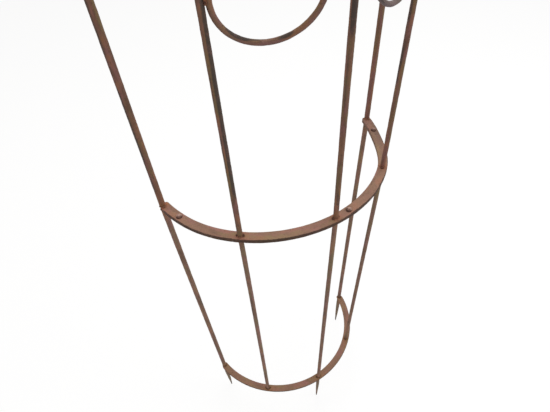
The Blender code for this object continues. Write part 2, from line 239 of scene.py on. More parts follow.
# Closed skin over a grid of points: rows run along the piece and wrap or end in fans, columns run round it.
# The faces are turned where their volume, the sum of corner . (next x one after), is negative.
def gridSkin(grid, place, marks, wraps=False):
    rows, columns = grid.shape[:2]
    index = np.arange(rows * columns).reshape(rows, columns)
    below = index if wraps else index[:-1]
    above = np.roll(index, -1, axis=0) if wraps else index[1:]
    quads = np.stack([below, np.roll(below, -1, axis=1), np.roll(above, -1, axis=1), above], axis=-1)
    quads = quads.reshape(-1, 4)
    points = grid.reshape(-1, 3)
    place = np.broadcast_to(place, grid.shape).reshape(-1, 3)
    marks = {**noMarks, **marks}
    values = {name: np.broadcast_to(value, (rows, columns)).ravel() for name, value in marks.items()}
    fans = np.zeros((0, 3), dtype=np.int64)
    if not wraps:
        points = np.concatenate([points, grid[:1].mean(axis=1), grid[-1:].mean(axis=1)])
        place = np.concatenate([place, place[:1], place[-1:]])
        values = {name: np.append(value, [value[0], value[-1]]) for name, value in values.items()}
        foot = np.full(columns, rows * columns)
        firstFan = np.stack([foot, np.roll(index[0], -1), index[0]], axis=-1)
        lastFan = np.stack([foot + 1, index[-1], np.roll(index[-1], -1)], axis=-1)
        fans = np.concatenate([firstFan, lastFan])
    corner = points[quads] - points.mean(axis=0)
    volume = np.linalg.det(corner[:, (0, 1, 2)]).sum() + np.linalg.det(corner[:, (0, 2, 3)]).sum()
    if volume < 0.0:
        quads = quads[:, ::-1]
        fans = fans[:, ::-1]
    return {"points": points, "quads": quads, "fans": fans, "place": place, "values": values}


# Skin of a plain surface under rust: point = plain + outward (relief + extra) where
def rustedSkin(plain, outward, place, seed, share=1.0, extra=0.0, where=1.0, wraps=False, **marks):
    relief, crust, pit = rustRelief(plain, seed, share)
    grid = plain + outward * ((relief + extra) * where)[..., None]
    return gridSkin(grid, place, {"crust": crust, "pit": pit, **marks}, wraps)


# An object that holds a mesh, a lamp or a camera, in the scene
def addObject(name, data):
    made = bpy.data.objects.new(name, data)
    bpy.context.scene.collection.objects.link(made)
    return made


# One object from several skins, with what its finish reads, in the place of a node if one is named
def makePiece(name, skins, finish, node=None):
    starts = np.cumsum([0] + [len(skin["points"]) for skin in skins[:-1]])
    quads = np.concatenate([skin["quads"] + start for skin, start in zip(skins, starts)])
    fans = np.concatenate([skin["fans"] + start for skin, start in zip(skins, starts)])
    points = np.concatenate([skin["points"] for skin in skins]).astype(np.float32)
    mesh = bpy.data.meshes.new(name)
    mesh.vertices.add(len(points))
    mesh.vertices.foreach_set("co", points.ravel())
    corners = np.concatenate([quads.ravel(), fans.ravel()]).astype(np.int32)
    mesh.loops.add(len(corners))
    mesh.loops.foreach_set("vertex_index", corners)
    sizes = np.repeat((4, 3), (len(quads), len(fans)))
    mesh.polygons.add(len(sizes))
    mesh.polygons.foreach_set("loop_start", (np.cumsum(sizes) - sizes).astype(np.int32))
    mesh.polygons.foreach_set("use_smooth", np.ones(len(sizes), dtype=bool))
    mesh.update(calc_edges=True)
    mesh.validate()
    normals = np.zeros(points.size, dtype=np.float32)
    mesh.vertices.foreach_get("normal", normals)
    values = {key: np.concatenate([skin["values"][key] for skin in skins]) for key in noMarks}
    # How much each point faces up, read by the finishes for dust with a painted top light and for a painted
    # reflection on what faces down
    values["facesUp"] = normals[2::3]
    for key, value in values.items():
        layer = mesh.attributes.new(key, "FLOAT", "POINT")
        layer.data.foreach_set("value", value.astype(np.float32))
    place = np.concatenate([skin["place"] for skin in skins]).astype(np.float32)
    layer = mesh.attributes.new("barPlace", "FLOAT_VECTOR", "POINT")
    layer.data.foreach_set("vector", place.ravel())
    mesh.materials.append(finishes[finish])
    piece = addObject(name, mesh)
    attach(piece, "root")
    if node:
        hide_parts(node)


# A link between nodes, so that sums and products of links are written as Python and add Math nodes
class Wire:
    def __init__(self, finish, socket):
        self.finish = finish
        self.socket = socket

    def maths(self, operation, first, second):
        return self.finish.node("ShaderNodeMath", {"operation": operation}, {0: first, 1: second})

    def __add__(self, other):
        return self.maths("ADD", self, other)

    def __sub__(self, other):
        return self.maths("SUBTRACT", self, other)

    def __rsub__(self, other):
        return self.maths("SUBTRACT", other, self)

    def __mul__(self, other):
        return self.maths("MULTIPLY", self, other)

    __radd__ = __add__
    __rmul__ = __mul__

    # Smooth rise from 0 at the first value to 1 at the second
    def rise(self, start, end):
        settings = {"interpolation_type": "SMOOTHSTEP"}
        return self.finish.node("ShaderNodeMapRange", settings, {0: self, 1: start, 2: end})

    # The same between a layer's own levels
    def layer(self, name):
        return self.rise(*rises[name])

    # Held between 0 and 1
    def clipped(self):
        return self.maths("MINIMUM", self.maths("MAXIMUM", self, 0.0), 1.0)


# The nodes of one material, or of the sky
class Finish:
    def __init__(self, owner):
        owner.use_nodes = True
        self.tree = owner.node_tree
        self.tree.nodes.clear()

    # Any node: its type, its settings, then the values or links of its sockets
    def node(self, kind, settings, sockets, output=0):
        made = self.tree.nodes.new(kind)
        for key, value in settings.items():
            setattr(made, key, value)
        for key, value in sockets.items():
            if isinstance(value, Wire):
                self.tree.links.new(value.socket, made.inputs[key])
            else:
                made.inputs[key].default_value = value
        return Wire(self, made.outputs[output]) if made.outputs else None

    def mark(self, name, output="Fac"):
        return self.node("ShaderNodeAttribute", {"attribute_name": name}, {}, output)

    # Cloudy pattern whose patches are about this many metres across
    def clouds(self, vector, size, detail, rough, warp):
        sockets = {"Vector": vector, "Scale": 1.0 / size, "Detail": detail, "Roughness": rough}
        sockets["Distortion"] = warp
        return self.node("ShaderNodeTexNoise", {}, sockets)

    # The same for a look's own patches, moved, and squeezed along the bar so that they are drawn out
    def drawnClouds(self, vector, look, size, along, moved, detail, rough, warp):
        squeeze = look["patchSize"] / look["patchLength"] * along
        sockets = {"Vector": vector, "Location": (moved, moved, 0.0), "Scale": (squeeze, 1.0, 1.0)}
        drawn = self.node("ShaderNodeMapping", {}, sockets)
        return self.clouds(drawn, look["patchSize"] * size, detail, rough, warp)

    # Distance to the nearest of scattered points, about this many metres apart
    def cells(self, vector, size):
        return self.node("ShaderNodeTexVoronoi", {}, {"Vector": vector, "Scale": 1.0 / size})

    # The first colour where the share is 0, the other where it is 1
    def blend(self, share, colour, other):
        first = colour if isinstance(colour, Wire) else (*colour, 1.0)
        settings = {"data_type": "RGBA", "blend_type": "MIX", "clamp_factor": True}
        return self.node("ShaderNodeMix", settings, {0: share, 6: first, 7: (*other, 1.0)}, 2)

    # A colour times a level
    def shade(self, colour, level):
        settings = {"data_type": "RGBA", "blend_type": "MULTIPLY", "clamp_factor": True}
        grey = self.node("ShaderNodeCombineColor", {}, {0: level, 1: level, 2: level})
        return self.node("ShaderNodeMix", settings, {0: 1.0, 6: colour, 7: grey}, 2)


# Clouds drawn out along the bar, against the look's own patches, each moved so that no two fall together
drawnPatterns = {
    "tone": {"size": 1.0, "along": 1.0, "moved": 0.0, "detail": 4.0, "rough": 0.60, "warp": 0.5},
    "warm": {"size": 1.2, "along": 0.8, "moved": 3.1, "detail": 3.0, "rough": 0.55, "warp": 0.4},
    "cool": {"size": 1.1, "along": 0.7, "moved": 7.7, "detail": 3.0, "rough": 0.55, "warp": 0.4},
    "streak": {"size": 0.8, "along": 0.35, "moved": 5.3, "detail": 3.0, "rough": 0.55, "warp": 0.3},
}
# Fine patterns that are the same size on every bar, in metres
mottlePattern = {"size": 0.0052, "detail": 5.0, "rough": 0.65, "warp": 0.3}
grainPattern = {"size": 0.0011, "detail": 3.0, "rough": 0.60, "warp": 0.0}
speckGap = 0.0030
spotGap = 0.045
# The levels of its pattern between which each layer goes from nothing to all
rises = {
    "brown": (0.34, 0.62),
    "pink": (0.46, 0.62),
    "olive": (0.50, 0.64),
    "undersideReflection": (0.1, -0.7),
    "ochre": (0.82, 0.96),
    "dustAndTopLight": (0.15, 0.85),
    "dustAndTopLightMottle": (0.35, 0.6),
    "worn": (0.20, 0.62),
    "crustMottle": (0.42, 0.62),
    "spot": (0.085, 0.045),
    "darkEdge": (0.62, 0.86),
    "bloomMottle": (0.36, 0.60),
    "burntMottle": (0.35, 0.55),
    "speck": (0.30, 0.12),
    "speckGrain": (0.46, 0.60),
    "speckMottle": (0.40, 0.56),
    "speckHollow": (0.28, 0.08),
}
scaleSoftness = 0.06
bumpDistance = 0.00045


# Old rust in layers: brown bar with pink, olive and ochre stretches, dust with a painted top light on what
# faces the sky, a painted reflection on what faces down, grey mill scale, crust, spots, dark edges, bloom and
# burnt metal by the welds, soil stains, painted shade beside the welds' lumps and round the bolts' heads,
# pits, and grain over it all. Where two numbers scale a pattern, they are the least share and what the
# pattern adds.
def rustFinish(name, look):
    material = bpy.data.materials.new(name)
    finish = Finish(material)
    place = finish.mark("barPlace", "Vector")
    facesUp = finish.mark("facesUp")
    crust, pit, nearWeld, nearEdge, burnt, bare = [finish.mark(key) for key in noMarks]

    drawn = {key: finish.drawnClouds(place, look, **pattern) for key, pattern in drawnPatterns.items()}
    tone, warm, cool, streak = drawn.values()
    mottle = finish.clouds(place, **mottlePattern)
    grain = finish.clouds(place, **grainPattern)
    specks = finish.cells(place, speckGap)
    spots = finish.cells(place, spotGap)

    # Dust with a painted top light on what faces up, broken up by the mottle
    dustAndTopLight = facesUp.layer("dustAndTopLight") * (0.45 + 0.55 * mottle.layer("dustAndTopLightMottle"))
    scaleFrom = look["scaleFrom"]
    scale = (streak + mottle * 0.22).rise(scaleFrom, scaleFrom + scaleSoftness)
    worn = (bare * (0.45 + streak) + (mottle - 0.5) * 0.3 * bare).layer("worn")
    # Darker where the edge mark is high, broken up by noise
    darkEdge = (nearEdge + (tone - 0.5) * 1.3 + (mottle - 0.5) * 0.9).layer("darkEdge")
    bloom = nearWeld * (0.3 + 0.7 * mottle.layer("bloomMottle"))
    fleck = specks.layer("speck") * grain.layer("speckGrain")
    fleck = fleck * mottle.layer("speckMottle")
    layers = (
        ("pink", warm.layer("pink") * look["pinkShare"]),
        ("olive", cool.layer("olive") * look["oliveShare"]),
        # Painted reflection on what faces down
        ("undersideReflection", facesUp.layer("undersideReflection") * look["undersideReflectionShare"]),
        ("ochre", (tone + warm * 0.6).layer("ochre") * look["ochreShare"]),
        ("dustAndTopLight", dustAndTopLight * look["dustAndTopLightShare"]),
        ("scale", scale * look["scaleShare"]),
        ("scale", worn * 0.88),
        ("pink", crust * mottle.layer("crustMottle") * 0.3),
        ("spot", spots.layer("spot") * look["spotShare"]),
        ("edge", darkEdge * look["edgeShare"]),
        ("orange", bloom * look["weldShare"]),
        # Dark stains of burn and soil, with painted shade beside the welds' lumps and round the bolts' heads
        ("burnt", burnt * (0.65 + 0.35 * mottle.layer("burntMottle"))),
        ("edge", pit * 0.45),
        ("orange", fleck * look["fleckShare"]),
    )
    colour = finish.blend(tone.layer("brown"), look["dark"], look["brown"])
    for key, share in layers:
        colour = finish.blend(share, colour, look[key])
    colour = finish.shade(colour, 0.84 + 0.32 * grain * (0.6 + 0.8 * mottle))

    roughness = 0.86 - 0.14 * scale - 0.12 * worn - 0.08 * darkEdge + 0.12 * (mottle - 0.5)
    metallic = (scale * 0.30 + worn * 0.20 + darkEdge * 0.15).clipped()
    height = mottle * 0.55 + grain * 0.30 - specks.layer("speckHollow") * 0.25 + crust * 0.3
    bump = {"Height": height, "Strength": look["bump"], "Distance": bumpDistance}
    sockets = {
        "Base Color": colour,
        "Roughness": roughness.clipped(),
        "Metallic": metallic,
        "Specular IOR Level": 0.35,
        "Normal": finish.node("ShaderNodeBump", {}, bump),
    }
    shader = finish.node("ShaderNodeBsdfPrincipled", {}, sockets)
    finish.node("ShaderNodeOutputMaterial", {}, {"Surface": shader})
    return material


# Colours are linear. Patches are in metres, across and along the bar. Shares say how much of a layer shows.
rodLook = {
    "dark": (0.12, 0.064, 0.042),
    "brown": (0.19, 0.097, 0.06),
    "pink": (0.215, 0.098, 0.086),
    "pinkShare": 0.85,
    "olive": (0.16, 0.112, 0.05),
    "oliveShare": 0.8,
    "ochre": (0.265, 0.118, 0.05),
    "ochreShare": 0.5,
    # What faces down takes a painted reflection, and what faces up dust with a painted top light
    "undersideReflection": (0.12, 0.072, 0.062),
    "undersideReflectionShare": 0.0,
    "dustAndTopLight": (0.24, 0.145, 0.1),
    "dustAndTopLightShare": 0.3,
    "scale": (0.05, 0.039, 0.032),
    "scaleFrom": 0.71,
    "scaleShare": 0.7,
    "edge": (0.06, 0.034, 0.024),
    "edgeShare": 0.0,
    "orange": (0.38, 0.125, 0.048),
    "weldShare": 0.55,
    "burnt": (0.05, 0.018, 0.011),
    "spot": (0.33, 0.13, 0.085),
    "spotShare": 0.0,
    "fleckShare": 0.35,
    "patchSize": 0.012,
    "patchLength": 0.045,
    "bump": 0.55,
}
endRodLook = dict(rodLook, brown=(0.198, 0.098, 0.06), scaleFrom=0.74)
# The lower rods are lighter than the upper ones
lowerRodLook = dict(
    rodLook,
    dark=(0.15, 0.088, 0.06),
    brown=(0.222, 0.128, 0.086),
    pink=(0.25, 0.128, 0.115),
    olive=(0.2, 0.15, 0.08),
    ochre=(0.3, 0.155, 0.08),
    scaleFrom=0.74,
    scaleShare=0.6,
)
bandLook = dict(
    rodLook,
    dark=(0.195, 0.108, 0.072),
    brown=(0.262, 0.146, 0.096),
    pink=(0.298, 0.136, 0.116),
    olive=(0.25, 0.168, 0.082),
    oliveShare=0.85,
    ochre=(0.32, 0.14, 0.078),
    dustAndTopLight=(0.285, 0.165, 0.115),
    dustAndTopLightShare=0.25,
    scale=(0.12, 0.076, 0.056),
    scaleFrom=0.74,
    scaleShare=0.5,
    edge=(0.06, 0.031, 0.021),
    edgeShare=0.92,
    weldShare=0.7,
    spotShare=0.55,
    fleckShare=0.22,
    patchSize=0.022,
    patchLength=0.046,
)
bottomBandLook = dict(
    bandLook,
    dark=(0.18, 0.098, 0.062),
    brown=(0.236, 0.126, 0.082),
    pink=(0.262, 0.116, 0.1),
    olive=(0.222, 0.148, 0.068),
    ochre=(0.275, 0.125, 0.064),
    dustAndTopLight=(0.25, 0.142, 0.098),
    orange=(0.24, 0.132, 0.046),
    weldShare=0.95,
    burnt=(0.075, 0.038, 0.018),
)
# On the ring bar what faces up takes an ochre painted top light with dust, and what faces down a purple
# painted reflection
ringLook = dict(
    rodLook,
    brown=(0.2, 0.11, 0.066),
    pink=(0.215, 0.105, 0.098),
    olive=(0.185, 0.125, 0.054),
    undersideReflection=(0.175, 0.092, 0.086),
    undersideReflectionShare=0.7,
    dustAndTopLight=(0.205, 0.128, 0.062),
    dustAndTopLightShare=0.5,
    scaleFrom=0.68,
    patchSize=0.01,
    patchLength=0.04,
)
# The right rings are greyer, with their own painted top light and painted reflection
coolRingLook = dict(
    ringLook,
    dark=(0.11, 0.08, 0.074),
    brown=(0.16, 0.115, 0.104),
    pink=(0.18, 0.125, 0.132),
    olive=(0.15, 0.115, 0.096),
    ochre=(0.19, 0.13, 0.1),
    dustAndTopLight=(0.19, 0.145, 0.132),
    undersideReflection=(0.13, 0.095, 0.104),
)
spikeLook = dict(
    rodLook,
    dark=(0.14, 0.092, 0.064),
    brown=(0.215, 0.14, 0.094),
    pink=(0.23, 0.145, 0.112),
    olive=(0.19, 0.15, 0.09),
    scale=(0.08, 0.066, 0.058),
    burnt=(0.055, 0.046, 0.042),
)
weldLook = dict(
    rodLook,
    dark=(0.12, 0.058, 0.036),
    brown=(0.21, 0.105, 0.064),
    pink=(0.23, 0.105, 0.078),
    orange=(0.3, 0.092, 0.034),
    weldShare=0.5,
    scaleFrom=0.76,
    patchSize=0.006,
    patchLength=0.006,
    bump=0.75,
)
soiledWeldLook = dict(
    weldLook,
    dark=(0.11, 0.065, 0.036),
    brown=(0.165, 0.086, 0.044),
    pink=(0.175, 0.088, 0.052),
    dustAndTopLight=(0.19, 0.105, 0.058),
    orange=(0.22, 0.1, 0.036),
    burnt=(0.08, 0.04, 0.02),
)
# On a bolt the light colour for what faces up is a painted highlight on the crown, with dust, the edge colour
# a painted shade on the head's wall, and the stain colour painted shade with caked dirt on one side of the
# head
boltLook = dict(
    rodLook,
    dark=(0.165, 0.088, 0.062),
    brown=(0.25, 0.142, 0.108),
    pink=(0.34, 0.2, 0.172),
    dustAndTopLight=(0.44, 0.285, 0.24),
    dustAndTopLightShare=0.75,
    edge=(0.07, 0.032, 0.022),
    edgeShare=0.8,
    weldShare=0.0,
    scaleShare=0.2,
    burnt=(0.06, 0.022, 0.014),
    scaleFrom=0.76,
    patchSize=0.005,
    patchLength=0.005,
)
finishes = {
    "band": rustFinish("rustedFlatBar", bandLook),
    "bottomBand": rustFinish("soiledFlatBar", bottomBandLook),
    "upperRod": rustFinish("rustedRod", rodLook),
    "upperEndRod": rustFinish("rustedEndRod", endRodLook),
    "lowerRod": rustFinish("paleRod", lowerRodLook),
    "ring": rustFinish("rustedRingBar", ringLook),
    "coolRing": rustFinish("greyRingBar", coolRingLook),
    "spike": rustFinish("soiledSpike", spikeLook),
    "weld": rustFinish("burntWeld", weldLook),
    "soiledWeld": rustFinish("soiledWeld", soiledWeldLook),
    "bolt": rustFinish("wornBolt", boltLook),
}
print("finishes:", len(finishes))


# How strongly orange rust blooms round each rod's welds, and how dark the spots of burn and painted shade
# beside their lumps are, by rod. On the bottom band the bloom is soil-coloured and reaches further.
weldBloom = {1: 1.5, 2: 0.35, 3: 0.75, 4: 0.80, 5: 0.15}
soilBloom = {1: 0.4, 2: 0.9, 3: 1.0, 4: 1.0, 5: 0.9}
bloomReach = {"weld": 0.0045, "soil": 0.0085}
burnAndShadeSpots = {1: 0.45, 2: 1.0, 3: 0.85, 4: 0.8, 5: 0.5}

# Straight round bar with a slight bow, sunk into the bands at its ends and burnt there by the welds
rodStock = {
    "sides": 40,
    "stationGap": 0.0013,
    "bow": 0.0007,
    "bowTurn": 1.7,
    "sink": 0.0004,
    "weldReach": 0.010,
    "burntShare": 0.7,
    "burntReach": 0.0045,
    "burntSize": 0.004,
    "burntRise": (0.3, 0.6),
}

# Which stretch of the patterns each rod shows, from rod 1 to rod 5
rodSeeds = {"lower": (290, 358, 426, 311, 379), "upper": (712, 841, 482, 550, 435)}

# Dark grey streaks down one side of some rods: the side they lie on and their half width, in degrees round
# the rod from +X, their lowest and highest levels, and how much of them shows
rodStreaks = {
    "upper_rod_1": ({"side": -152.0, "spread": 55.0, "from": 0.96, "to": 1.66, "share": 0.65},),
    "upper_rod_2": ({"side": -74.0, "spread": 76.0, "from": 1.02, "to": 1.64, "share": 1.15},),
    "upper_rod_3": (
        {"side": -118.0, "spread": 95.0, "from": 1.275, "to": 1.43, "share": 0.95},
        {"side": -150.0, "spread": 42.0, "from": 1.15, "to": 1.26, "share": 0.4},
    ),
    "upper_rod_4": ({"side": -176.0, "spread": 60.0, "from": 1.14, "to": 1.27, "share": 0.75},),
    "lower_rod_1": ({"side": -95.0, "spread": 50.0, "from": 0.66, "to": 0.79, "share": 0.45},),
}
# How they break up: a noise that is drawn out along the rod leaves at least this share of them
breaks = {"fade": 0.02, "size": 0.0065, "along": 0.14, "about": 0.006, "least": 0.62, "rise": (0.22, 0.50)}


# Streak = its share, times a hump round the rod, times smooth ends, times the noise that breaks it up
def streaksOn(name, height, turn, seed):
    reach = breaks["about"]
    drawn = pointsOf(height * breaks["along"], reach * np.cos(turn), reach * np.sin(turn))
    noise = valueNoise(drawn, breaks["size"], seed + 31)
    least = breaks["least"]
    broken = least + (1.0 - least) * smoothRise(noise, *breaks["rise"])
    fade = breaks["fade"]
    total = np.zeros_like(broken)
    for streak in rodStreaks.get(name, ()):
        about = hump(degreesFrom(turn, streak["side"]), streak["spread"])
        starts = smoothRise(height, streak["from"] - fade, streak["from"] + fade)
        stops = smoothRise(height, streak["to"] - fade, streak["to"] + fade)
        total = np.maximum(total, streak["share"] * broken * starts * (1.0 - stops) * about)
    return total


# Level circles round the rod's axis: point = axis(height) + bow sin(pi share) + outward (radius + relief)
def makeRod(section, number):
    name = f"{section}_rod_{number}"
    radius = rodRadius(number)
    low, high = sections[section]["levels"]
    seed = rodSeeds[section][number - 1]
    steps = int((high - low) / rodStock["stationGap"])
    height = np.linspace(low - rodStock["sink"], high + rodStock["sink"], steps)[:, None]
    turn = fullTurn(rodStock["sides"])
    share = np.clip((height - low) / (high - low), 0.0, 1.0)
    bow = rodStock["bow"] * np.sin(math.pi * share)[..., None]
    centre = rodAxis(section, number, height) + bow * turned(seed * rodStock["bowTurn"], 1.0, 0.0)
    outward = turned(turn, 1.0, 0.0)
    plain = centre + outward * radius
    fromEnd = np.clip(np.minimum(height - low, high - height), 0.0, None)
    nearWeld = np.exp(-fromEnd / rodStock["weldReach"]) * weldBloom[number]
    burnt = rodStock["burntShare"] * bell(fromEnd, rodStock["burntReach"])
    burnt = burnt * smoothRise(valueNoise(plain, rodStock["burntSize"], seed), *rodStock["burntRise"])
    bare = streaksOn(name, height, turn, seed)
    place = pointsOf(height + patternStart(seed), radius * np.cos(turn), radius * np.sin(turn))
    skin = rustedSkin(plain, outward, place, seed, nearWeld=nearWeld, burnt=burnt, bare=bare)
    isEnd = number in endRods
    finish = "lowerRod"
    if section == "upper":
        finish = "upperEndRod" if isEnd else "upperRod"
    makePiece(f"{name}_bar", [skin], finish, name)


for section in sections:
    for number in allRods:
        makeRod(section, number)
print("rods: 10")


# Radius, where the patterns start, and which faces carry welds, 1 for the top and -1 for the bottom
bands = {
    "bottom_band": {"radius": arc["bottomRadius"], "seed": 45, "welded": (1, -1), "finish": "bottomBand"},
    "lower_middle_band": {"radius": arc["middleRadius"], "seed": 23, "welded": (-1,), "finish": "band"},
    "upper_middle_band": {"radius": arc["middleRadius"], "seed": 156, "welded": (1,), "finish": "band"},
    "top_band": {"radius": arc["topRadius"], "seed": 53, "welded": (-1,), "finish": "band"},
}

# Where the middle bands lie inside the plain arc: depth times a hump, in metres and degrees
bandSets = (
    {"depth": 0.007, "angle": 64.0, "spread": 26.0},
    {"depth": 0.003, "angle": -80.0, "spread": 30.0},
)

# Dark spots lie at both sides of each rod's foot, burn with painted shade beside the welds' lumps, and a ring
# of painted shadow and dirt round each bolt's head. The middle bands' right end turns grey between two
# angles, in degrees. Edges marked darker than the last value are nicked.
stains = {
    "bloomGap": 0.001,
    "spotReach": 0.0020,
    "spotSize": 0.0020,
    "boltRing": 0.0059,
    "boltRingWidth": 0.0006,
    "boltRingSize": 0.006,
    "boltRingRise": (0.40, 0.70),
    "greyFrom": 42.0,
    "greyTo": 62.0,
    "greyShare": 0.46,
    "reliefShare": 0.8,
    "faceRelief": 0.7,
    "nickSize": 0.0036,
    "nickDepth": 0.00024,
    "nickRise": (0.66, 0.84),
    "nickedFrom": 0.85,
}

# How dark a band is marked: on its faces towards either edge, on the corner where a face ends, on its sides
# and the corners after them, and the inner side's share of that
edgeDarkness = {
    "faceRise": (0.62, 1.05),
    "outerFace": 0.8,
    "innerFace": 0.55,
    "corner": 0.9,
    "side": 1.3,
    "innerShare": 0.45,
}


# Set = the sum over both of depth times hump
def middleSet(angle):
    return sum(dent["depth"] * hump(np.degrees(angle) - dent["angle"], dent["spread"]) for dent in bandSets)


# A band's cross-section, run round from the inner top edge: share of the way across, offset (corner sin and
# corner cos of a quarter turn on the corners), height, and how dark it is marked, most of all on the outer
# side
def flatSection():
    corner = bandStock["corner"]
    half = bandStock["thickness"] / 2.0 - corner
    faceSteps = np.linspace(-1.0, 1.0, bandStock["faceSteps"])
    sideSteps = np.linspace(1.0, -1.0, bandStock["sideSteps"])
    quarter = np.radians([22.5, 45.0, 67.5])
    bends = list(zip(corner * np.sin(quarter), half + corner * np.cos(quarter)))
    points = []
    for side, share in ((1.0, 1.0), (-1.0, edgeDarkness["innerShare"])):
        for step in faceSteps:
            darkening = edgeDarkness["outerFace" if step * side > 0.0 else "innerFace"]
            darkening = smoothRise(abs(step), *edgeDarkness["faceRise"]) * darkening
            points.append((step * side, 0.0, side * (half + corner), darkening))
        onCorner = edgeDarkness["corner"] * share
        onSide = edgeDarkness["side"] * share
        points += [(side, side * out, side * up, onCorner) for out, up in bends]
        points += [(side, side * corner, side * step * half, onSide) for step in sideSteps]
        points += [(side, side * out, -side * up, onSide) for out, up in bends[::-1]]
    return np.array(points).T


# How far a band's edge lies from its middle line near a round corner: width less corner, plus the root of
# (corner squared - cut squared), where cut is how far inside the corner it is
def edgeReach(fromEnd, corner):
    half = bandStock["width"] / 2.0 - bandStock["corner"]
    cut = np.clip(corner - fromEnd, 0.0, corner)
    return half - corner + np.sqrt(np.clip(corner * corner - cut * cut, 0.0, None))


# Distances along a band, close together at its rounded ends, and how far its two edges lie from its middle
def bandRun(length):
    corner = bandStock["outerEndCorner"]
    inner = np.linspace(corner, length - corner, int(length / bandStock["stationGap"]))
    turn = np.linspace(0.0, math.pi / 2.0, bandStock["endStations"])[:-1]
    start = corner * (1.0 - np.cos(turn))
    distance = np.concatenate([start, inner, (length - start)[::-1]])[:, None]
    fromEnd = np.minimum(distance, length - distance)
    return distance, edgeReach(fromEnd, corner), edgeReach(fromEnd, bandStock["innerEndCorner"])


# Bloom = e to the minus of gap / fade, round each rod's foot. Dark spots = a bell at each side of the foot:
# burn with painted shade beside the weld's lumps.
def footMarks(radius, angle, side, soiled):
    strength = soilBloom if soiled else weldBloom
    fade = bloomReach["soil" if soiled else "weld"]
    nearWeld = np.zeros_like(side)
    burnt = np.zeros_like(side)
    for number in allRods:
        along = (angle - rodAngles[number]) * radius
        gap = np.hypot(along, side) - rodRadius(number)
        bloom = np.exp(-np.clip(gap - stains["bloomGap"], 0.0, None) / fade) * strength[number]
        aside = np.hypot(np.abs(along) - rodRadius(number) - stains["spotReach"], side)
        nearWeld = np.maximum(nearWeld, bloom)
        burnt = np.maximum(burnt, bell(aside, stains["spotSize"]) * burnAndShadeSpots[number])
    return nearWeld, burnt


# Ring of painted shadow and dirt round each bolt's head: a bell over the distance from it, broken up by noise
def boltShadowAndDirtRings(plain, seed):
    broken = smoothRise(valueNoise(plain, stains["boltRingSize"], seed + 21), *stains["boltRingRise"])
    away = [np.linalg.norm((plain - boltFoot(side))[..., :2], axis=-1) for side in boltSides]
    return bell(np.min(away, axis=0) - stains["boltRing"], stains["boltRingWidth"]) * broken


# Which way rust stands on a band: sideways on its edges, up or down on its faces, both on its corners
def bandOutward(angle, fromLine, half, up):
    corner = bandStock["corner"]
    push = np.where(np.abs(fromLine) > half + corner * 0.5, np.sign(fromLine), 0.0)
    lift = np.where(np.abs(up) > bandStock["thickness"] / 2.0 - corner * 1.01, np.sign(up), 0.0)
    length = np.maximum(np.hypot(push, lift), 1.0)
    way = pointsOf(push * np.sin(angle), -push * np.cos(angle), lift * stains["faceRelief"])
    return way / length[..., None]


# Flat bar bent on edge: point = arc at (radius + side - set), height + up. Bending leaves the inner edge
# thicker than the outer one.
def makeBand(name):
    radius = bands[name]["radius"]
    seed = bands[name]["seed"]
    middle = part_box(name)[0].z + bandStock["thickness"] / 2.0
    reach = rodAngles[5] + (arc["endRodDiameter"] / 2.0 + bandStock["endOverhang"]) / radius
    distance, outerReach, innerReach = bandRun(2.0 * reach * radius)
    half = np.maximum((outerReach + innerReach) / 2.0, bandStock["leastHalf"])
    across, offset, up, edge = flatSection()
    fromLine = across * half + offset
    side = fromLine + (outerReach - innerReach) / 2.0
    squeeze = 1.0 - bandStock["squeeze"] * side / (bandStock["width"] / 2.0)
    angle = distance / radius - reach
    isMiddle = "middle" in name
    inward = middleSet(angle) if isMiddle else 0.0
    plain = polar(radius + side - inward, angle, middle + up * squeeze)
    nicked = smoothRise(valueNoise(plain, stains["nickSize"], seed + 9), *stains["nickRise"])
    nicked = nicked * (edge > stains["nickedFrom"])
    nearWeld, burnt = footMarks(radius, angle, side - inward, name == "bottom_band")
    welded = np.isin(np.sign(up), bands[name]["welded"])
    marks = {"nearWeld": nearWeld * welded, "nearEdge": edge, "burnt": burnt * welded}
    if isMiddle:
        grey = smoothRise(np.degrees(angle), stains["greyFrom"], stains["greyTo"])
        marks["bare"] = grey * stains["greyShare"]
        # Painted shadow and dirt in a ring round each bolt's head
        marks["burnt"] = np.maximum(marks["burnt"], boltShadowAndDirtRings(plain, seed))
    outward = bandOutward(angle, fromLine, half, up)
    place = pointsOf(distance + patternStart(seed), side, up)
    extra = -stains["nickDepth"] * nicked
    skin = rustedSkin(plain, outward, place, seed, stains["reliefShare"], extra, **marks)
    makePiece(f"{name}_bar", [skin], bands[name]["finish"], name)


for name in bands:
    makeBand(name)
print("bands:", len(bands))


# Drawn-out spike: round under the band, then hammered to a point on four sides. Soil stains its lower end.
spike = {
    "rods": (1, 3, 5),
    "taper": 0.130,
    "tip": 0.0015,
    "fullness": 0.50,
    "squareness": 0.32,
    "squareMost": 1.22,
    "squareMean": 1.10,
    "roundFrom": (0.55, 1.0),
    "smoothTip": 0.06,
    "sink": 0.0002,
    "stationGap": 0.0012,
    "sides": 40,
    "hammerSize": 0.009,
    "hammerDepth": 0.0005,
    "weldReach": 0.010,
    "weldShare": 0.5,
    "soilLow": 0.004,
    "soilHigh": 0.040,
    "soilShare": 0.85,
}


